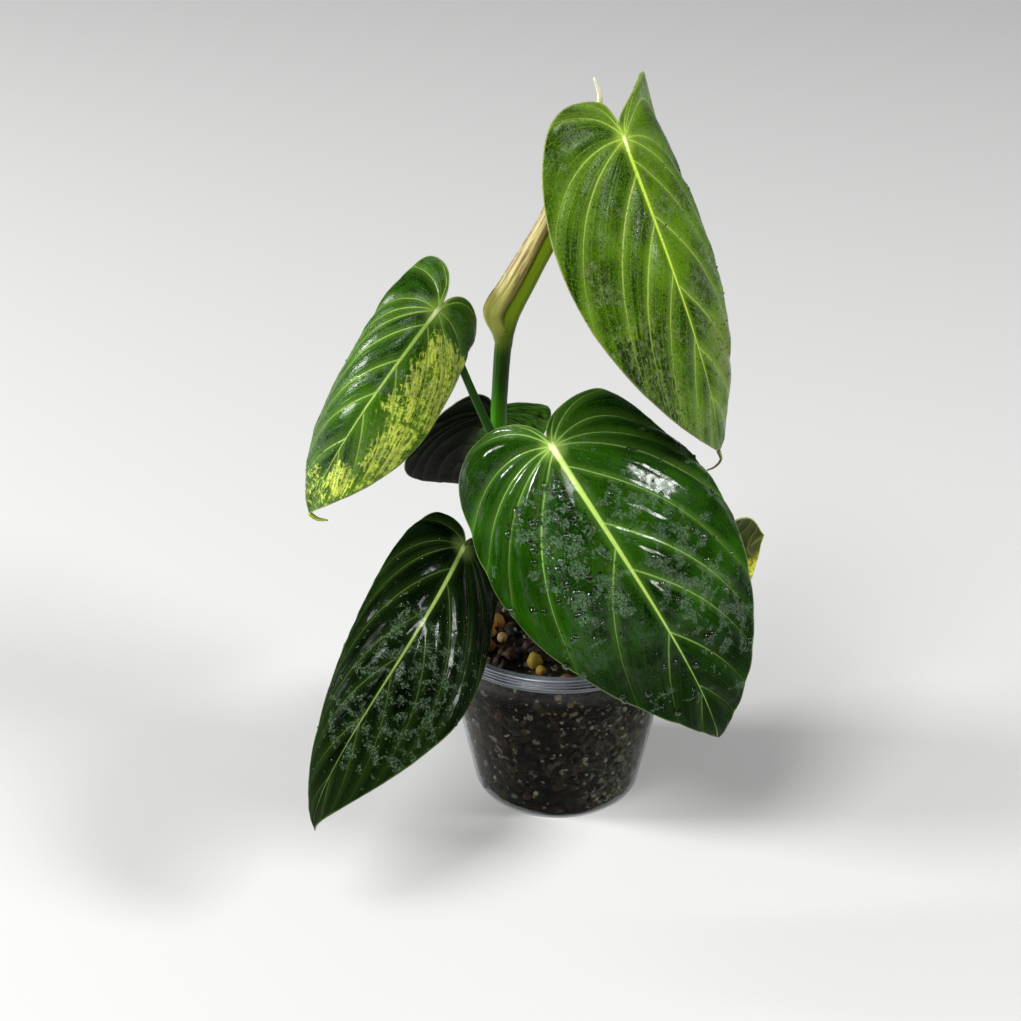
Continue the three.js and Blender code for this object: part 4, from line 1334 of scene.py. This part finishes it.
def in_batches(count, add_one):
    """A bmesh of many small shapes, made in batches because an operator slows down as its bmesh grows."""
    whole = bmesh.new()
    for start in range(0, count, BATCH):
        batch = bmesh.new()
        layer = batch.loops.layers.uv.new("tone")
        for k in range(start, min(start + BATCH, count)):
            add_one(batch, layer, k)
        mesh = mesh_of("batch", batch)
        whole.from_mesh(mesh)
        bpy.data.meshes.remove(mesh)
    return whole


def random_turn(rand):
    """A turn about each axis, each by a random angle."""
    x, y, z = [Matrix.Rotation(rand.random() * 2 * pi, 3, axis) for axis in "XYZ"]
    return x @ y @ z


def wall_turn(angle, rand):
    """A turn that lays a bit's thin side against the pot's wall."""
    upright = Matrix.Rotation(angle, 3, "Z") @ Matrix.Rotation(pi / 2, 3, "Y")
    return upright @ Matrix.Rotation(rand.random() * WALL_TURN, 3, "Z")


def scatter_bits(name, material, seed, on_top, at_wall, sizes, squash, lean=None):
    """Loose bits on the soil's top and pressed against the wall, more of them at the angle lean."""
    rand = random.Random(seed)

    def add_one(bm, tone_map, k):
        size = lerp(*sizes, rand.random() ** 2)
        a = rand.random() * 2 * pi
        if k < on_top:
            r = (soil_r(SOIL_EDGE_Z) - size * 0.8) * sqrt(rand.random())
            place = around(r, a, soil_top(r) + size * 0.25 - 0.4) * MM
            flat = (lerp(*squash, rand.random()), lerp(*squash, rand.random()))
            add_bit(bm, tone_map, rand, place, size, flat, random_turn(rand), BIT_ROUGH)
            return
        if lean is not None and rand.random() < LEAN_SHARE:
            a = radians(rand.gauss(lean, LEAN_SPREAD))
        size *= WALL_BIT_SHARE
        z = lerp(3, SOIL_EDGE_Z - 1, rand.random())
        place = around(soil_r(z) - size * WALL_BIT_DEPTH, a, z) * MM
        flat = (lerp(*squash, rand.random()), WALL_BIT_DEPTH)
        add_bit(bm, tone_map, rand, place, size, flat, wall_turn(a, rand), BIT_ROUGH / 2)

    finish_piece(name, in_batches(on_top + at_wall, add_one), (material,))


def make_roots(material):
    """Thin roots that wander down and round between the soil and the wall."""
    rand = random.Random(ROOT_SEED)
    bm = bmesh.new()
    for _ in range(ROOT_COUNT):
        a = rand.random() * 2 * pi
        z = lerp(*ROOT_TOP_Z, rand.random())
        path = []
        for _ in range(ROOT_BENDS):
            path.append(around(soil_r(z) - ROOT_RADII[0] - 0.05, a, z))
            a += radians(rand.uniform(*ROOT_TURN))
            z = max(z - rand.uniform(*ROOT_FALL), ROOT_END_Z)
        rod(bm, path, ROOT_RADII, sides=6, count=24)
    finish_piece("roots", bm, (material,))


def make_pellets(material):
    """Round clay pellets on the soil and a few behind the wall just under the lip."""
    rand = random.Random(PELLET_SEED)
    spots = [(Vector(place) * MM, radius, tone) for place, radius, tone in PELLETS]
    for k in range(WALL_PELLETS):
        front = k < FRONT_PELLETS
        a = radians(rand.uniform(*FRONT_ANGLES)) if front else rand.uniform(0, 2 * pi)
        z = rand.uniform(*(FRONT_PELLETS_Z if front else WALL_PELLETS_Z))
        radius = rand.uniform(*WALL_PELLET_SIZES)
        tone = (rand.random(), 1.0 if front else rand.random())
        spots.append((around(soil_r(z) - radius * 0.95, a, z) * MM, radius, tone))

    def add_one(bm, tone_map, k):
        place, radius, tone = spots[k]
        add_bit(
            bm, tone_map, rand, place, radius, PELLET_SQUASH, random_turn(rand), PELLET_ROUGH,
            subdivisions=3, tone=tone,
        )

    finish_piece("clay_pellets", in_batches(len(spots), add_one), (material,))


def make_holder():
    """Pot, soil and the loose bits in it."""
    make_pot(pot_material(), lip_material())
    make_soil(soil_material())
    bark = bits_material("bark", rgb(8, 6, 3), rgb(32, 24, 12), rgb(60, 36, 16))
    pumice = bits_material("pumice", rgb(52, 52, 36), rgb(164, 164, 136), rgb(92, 92, 60))
    clay = bits_material("clay", rgb(120, 104, 26), rgb(104, 56, 26), rgb(140, 112, 74))
    root = stalk_material("root", rgb(62, 46, 26), rgb(90, 72, 44), rgb(46, 34, 18), 0.6)
    scatter_bits("bark_bits", bark, **BARK)
    scatter_bits("pumice_bits", pumice, **PUMICE)
    make_pellets(clay)
    make_roots(root)


def channel(t, angle):
    """A stalk's shallow channel along its upper side."""
    off = min(abs(angle - 0.25), 1 - abs(angle - 0.25))
    return 1 - 0.16 * exp(-((off / 0.09) ** 2))


def folds(t, angle):
    """The sheath's folds, sharper towards its point, and the crease where its edges meet."""
    waves = 0.07 * cos(2 * pi * (3 * angle + 0.4 * t)) + 0.04 * cos(2 * pi * 7 * angle)
    crease = 0.1 * exp(-(((angle - 0.6) / 0.06) ** 2))
    return 1 + (waves - crease) * smooth(0.05, 0.2, t)


def rod_piece(name, path, radii, material, slot, replaced=(), under=None, **settings):
    """A piece made of one rod, which ends just under a leaf's blade where one is given."""
    bm = bmesh.new()
    rod(bm, path, radii, **settings)
    if under:
        trim_under_blade(bm, under)
    finish_piece(name, bm, (material,), replaced)


def make_stalks():
    """Stem, stalks and sheath."""
    collar = rgb(84, 104, 18)
    stem_green = stalk_material(
        "stem_green", rgb(66, 138, 8), rgb(26, 58, 3), rgb(44, 92, 6),
        collar=dict(where=(0.93, 0.985), colour=collar), climb=(0.7, 0.88),
    )
    stalk_olive = stalk_material(
        "stalk_olive", rgb(108, 134, 4), rgb(84, 110, 2), rgb(128, 148, 10),
        collar=dict(where=(0.05, 0.16, 1.0, 0.0), colour=collar),
    )
    stalk_dark = stalk_material("stalk_dark", rgb(36, 84, 12), rgb(30, 62, 12), rgb(56, 100, 24))
    rod_piece(
        "main_stem", **STEM, material=stem_green, slot="stem_green", replaced=["stem"], sides=32, count=80
    )
    for letter, stalk in STALKS.items():
        rod_piece(
            "stalk_" + letter, **stalk, material=stalk_olive if letter == "a" else stalk_dark,
            slot="stem_green", replaced=["petiole_" + letter], under=LEAVES[letter],
            sides=28, count=70, shape=channel,
        )
    rod_piece(
        "dry_sheath", **SHEATH, material=sheath_material(), slot="dry_sheath", replaced=["sheath"],
        sides=40, count=110, shape=folds,
    )


def make_tip(letter, material, offsets, radii):
    """The thin curled tail at a leaf's tip."""
    leaf = LEAVES[letter]
    tip = Vector(spine(leaf, leaf["right"])[1][-1])
    path = [tip + Vector(offset) for offset in offsets]
    rod_piece("blade_%s_tip" % letter, path, radii, material, LEAF_SLOTS[letter], sides=12, count=20)


def middle(u, v):
    """How thickly drops lie: clear of the midrib, the notch and the tip, and thinner far out."""
    along = smooth(-5, 20, u) * (1 - smooth(95, 125, u))
    return along * smooth(1.2, 2.6, abs(v)) * (1 if abs(v) < 40 else 0.4)


def beside_midrib(u, v):
    """As middle, but thickest in a strip to the right of the midrib."""
    strip = smooth(2, 5, v) * (1 - smooth(24, 32, v)) * smooth(6, 14, u) * (1 - smooth(56, 72, u))
    return 0.4 * middle(u, v) + 4 * strip


def make_drops(letter, faces, spots, material, density, seed, large, small, sizes):
    """Water drops, large and small: low domes on a blade's upper face, thick where density says."""
    rand = random.Random(seed)
    weights = [area * density(*spot) for (_, _, area), spot in zip(faces, spots)]
    chosen = rand.choices(faces, weights=weights, k=large + small)

    def add_one(bm, tone_map, k):
        centre, normal, _ = chosen[k]
        radii, sides = (sizes, LARGE_DROP_SIDES) if k < large else (SMALL_DROP_SIZES, SMALL_DROP_SIDES)
        radius = lerp(*radii, rand.random() ** 2) * MM
        turn = normal.to_track_quat("Z", "Y").to_matrix().to_4x4()
        scale = Matrix.Diagonal((1, lerp(0.85, 1.1, rand.random()), DROP_HEIGHT, 1))
        made = bmesh.ops.create_uvsphere(bm, u_segments=sides, v_segments=sides // 2 + 1, radius=radius)
        for vert in made["verts"]:
            if vert.co.z < 0:
                vert.co.z *= DROP_FOOT
        bmesh.ops.transform(bm, matrix=Matrix.Translation(centre) @ turn @ scale, verts=made["verts"])

    bm = in_batches(large + small, add_one)
    for face in bm.faces:
        face.smooth = True
    finish_piece("drops_" + letter, bm, (material,))


def make_plant():
    """Blades with their tips and drops, stem, stalks and sheath."""
    upper_faces = {letter: blade(letter, *materials) for letter, materials in leaf_looks().items()}
    make_stalks()
    brown = stalk_material("tail_dry", rgb(124, 130, 60), rgb(112, 96, 50), rgb(150, 140, 80))
    yellowish = stalk_material("tail_yellow", rgb(170, 190, 60), rgb(186, 190, 70), rgb(204, 206, 110))
    make_tip("a", brown, **TAIL_A)
    make_tip("b", yellowish, **TAIL_B)
    water = water_material()
    for letter, drops in DROPS.items():
        density = beside_midrib if letter == "c" else middle
        make_drops(letter, *upper_faces[letter], water, density, **drops)


def make_ground():
    """A plain pale floor, which is not part of the object."""
    bm = bmesh.new()
    bmesh.ops.create_grid(bm, x_segments=1, y_segments=1, size=FLOOR_HALF)
    floor = add_object("floor", mesh_of("floor", bm))
    floor.data.materials.append(Material("floor_pale").done({"Base Color": FLOOR_TONE, "Roughness": 0.8}))


def light_scene():
    """A pale room with softboxes aimed at the plant."""
    world = bpy.data.worlds.new("room")
    world.use_nodes = True
    Nodes(world.node_tree).feed(world.node_tree.nodes["Background"], {0: ROOM_TONE, 1: ROOM_STRENGTH})
    bpy.context.scene.world = world
    for name, (place, size, power) in LAMPS.items():
        data = bpy.data.lights.new(name, "AREA")
        data.shape = "RECTANGLE"
        data.size, data.size_y = size
        data.energy = power
        lamp = add_object(name, data)
        lamp.location = place
        lamp.rotation_euler = (Vector(LAMP_TARGET) - Vector(place)).to_track_quat("-Z", "Y").to_euler()
        lamp.visible_camera = False


def add_camera():
    """The photograph's view: from above, looking along +Y."""
    data = bpy.data.cameras.new("camera")
    data.sensor_width = SENSOR_MM
    data.lens = FOCAL_PIXELS * SENSOR_MM / PHOTO_PIXELS
    data.clip_start = 0.01
    camera = add_object("camera", data)
    camera.location = EYE
    camera.rotation_euler = (radians(90 - LOOK_DOWN), 0, 0)
    bpy.context.scene.camera = camera


bpy.context.scene.view_settings.view_transform = "Standard"
make_groups()
add_camera()
light_scene()
make_ground()
make_holder()
make_plant()
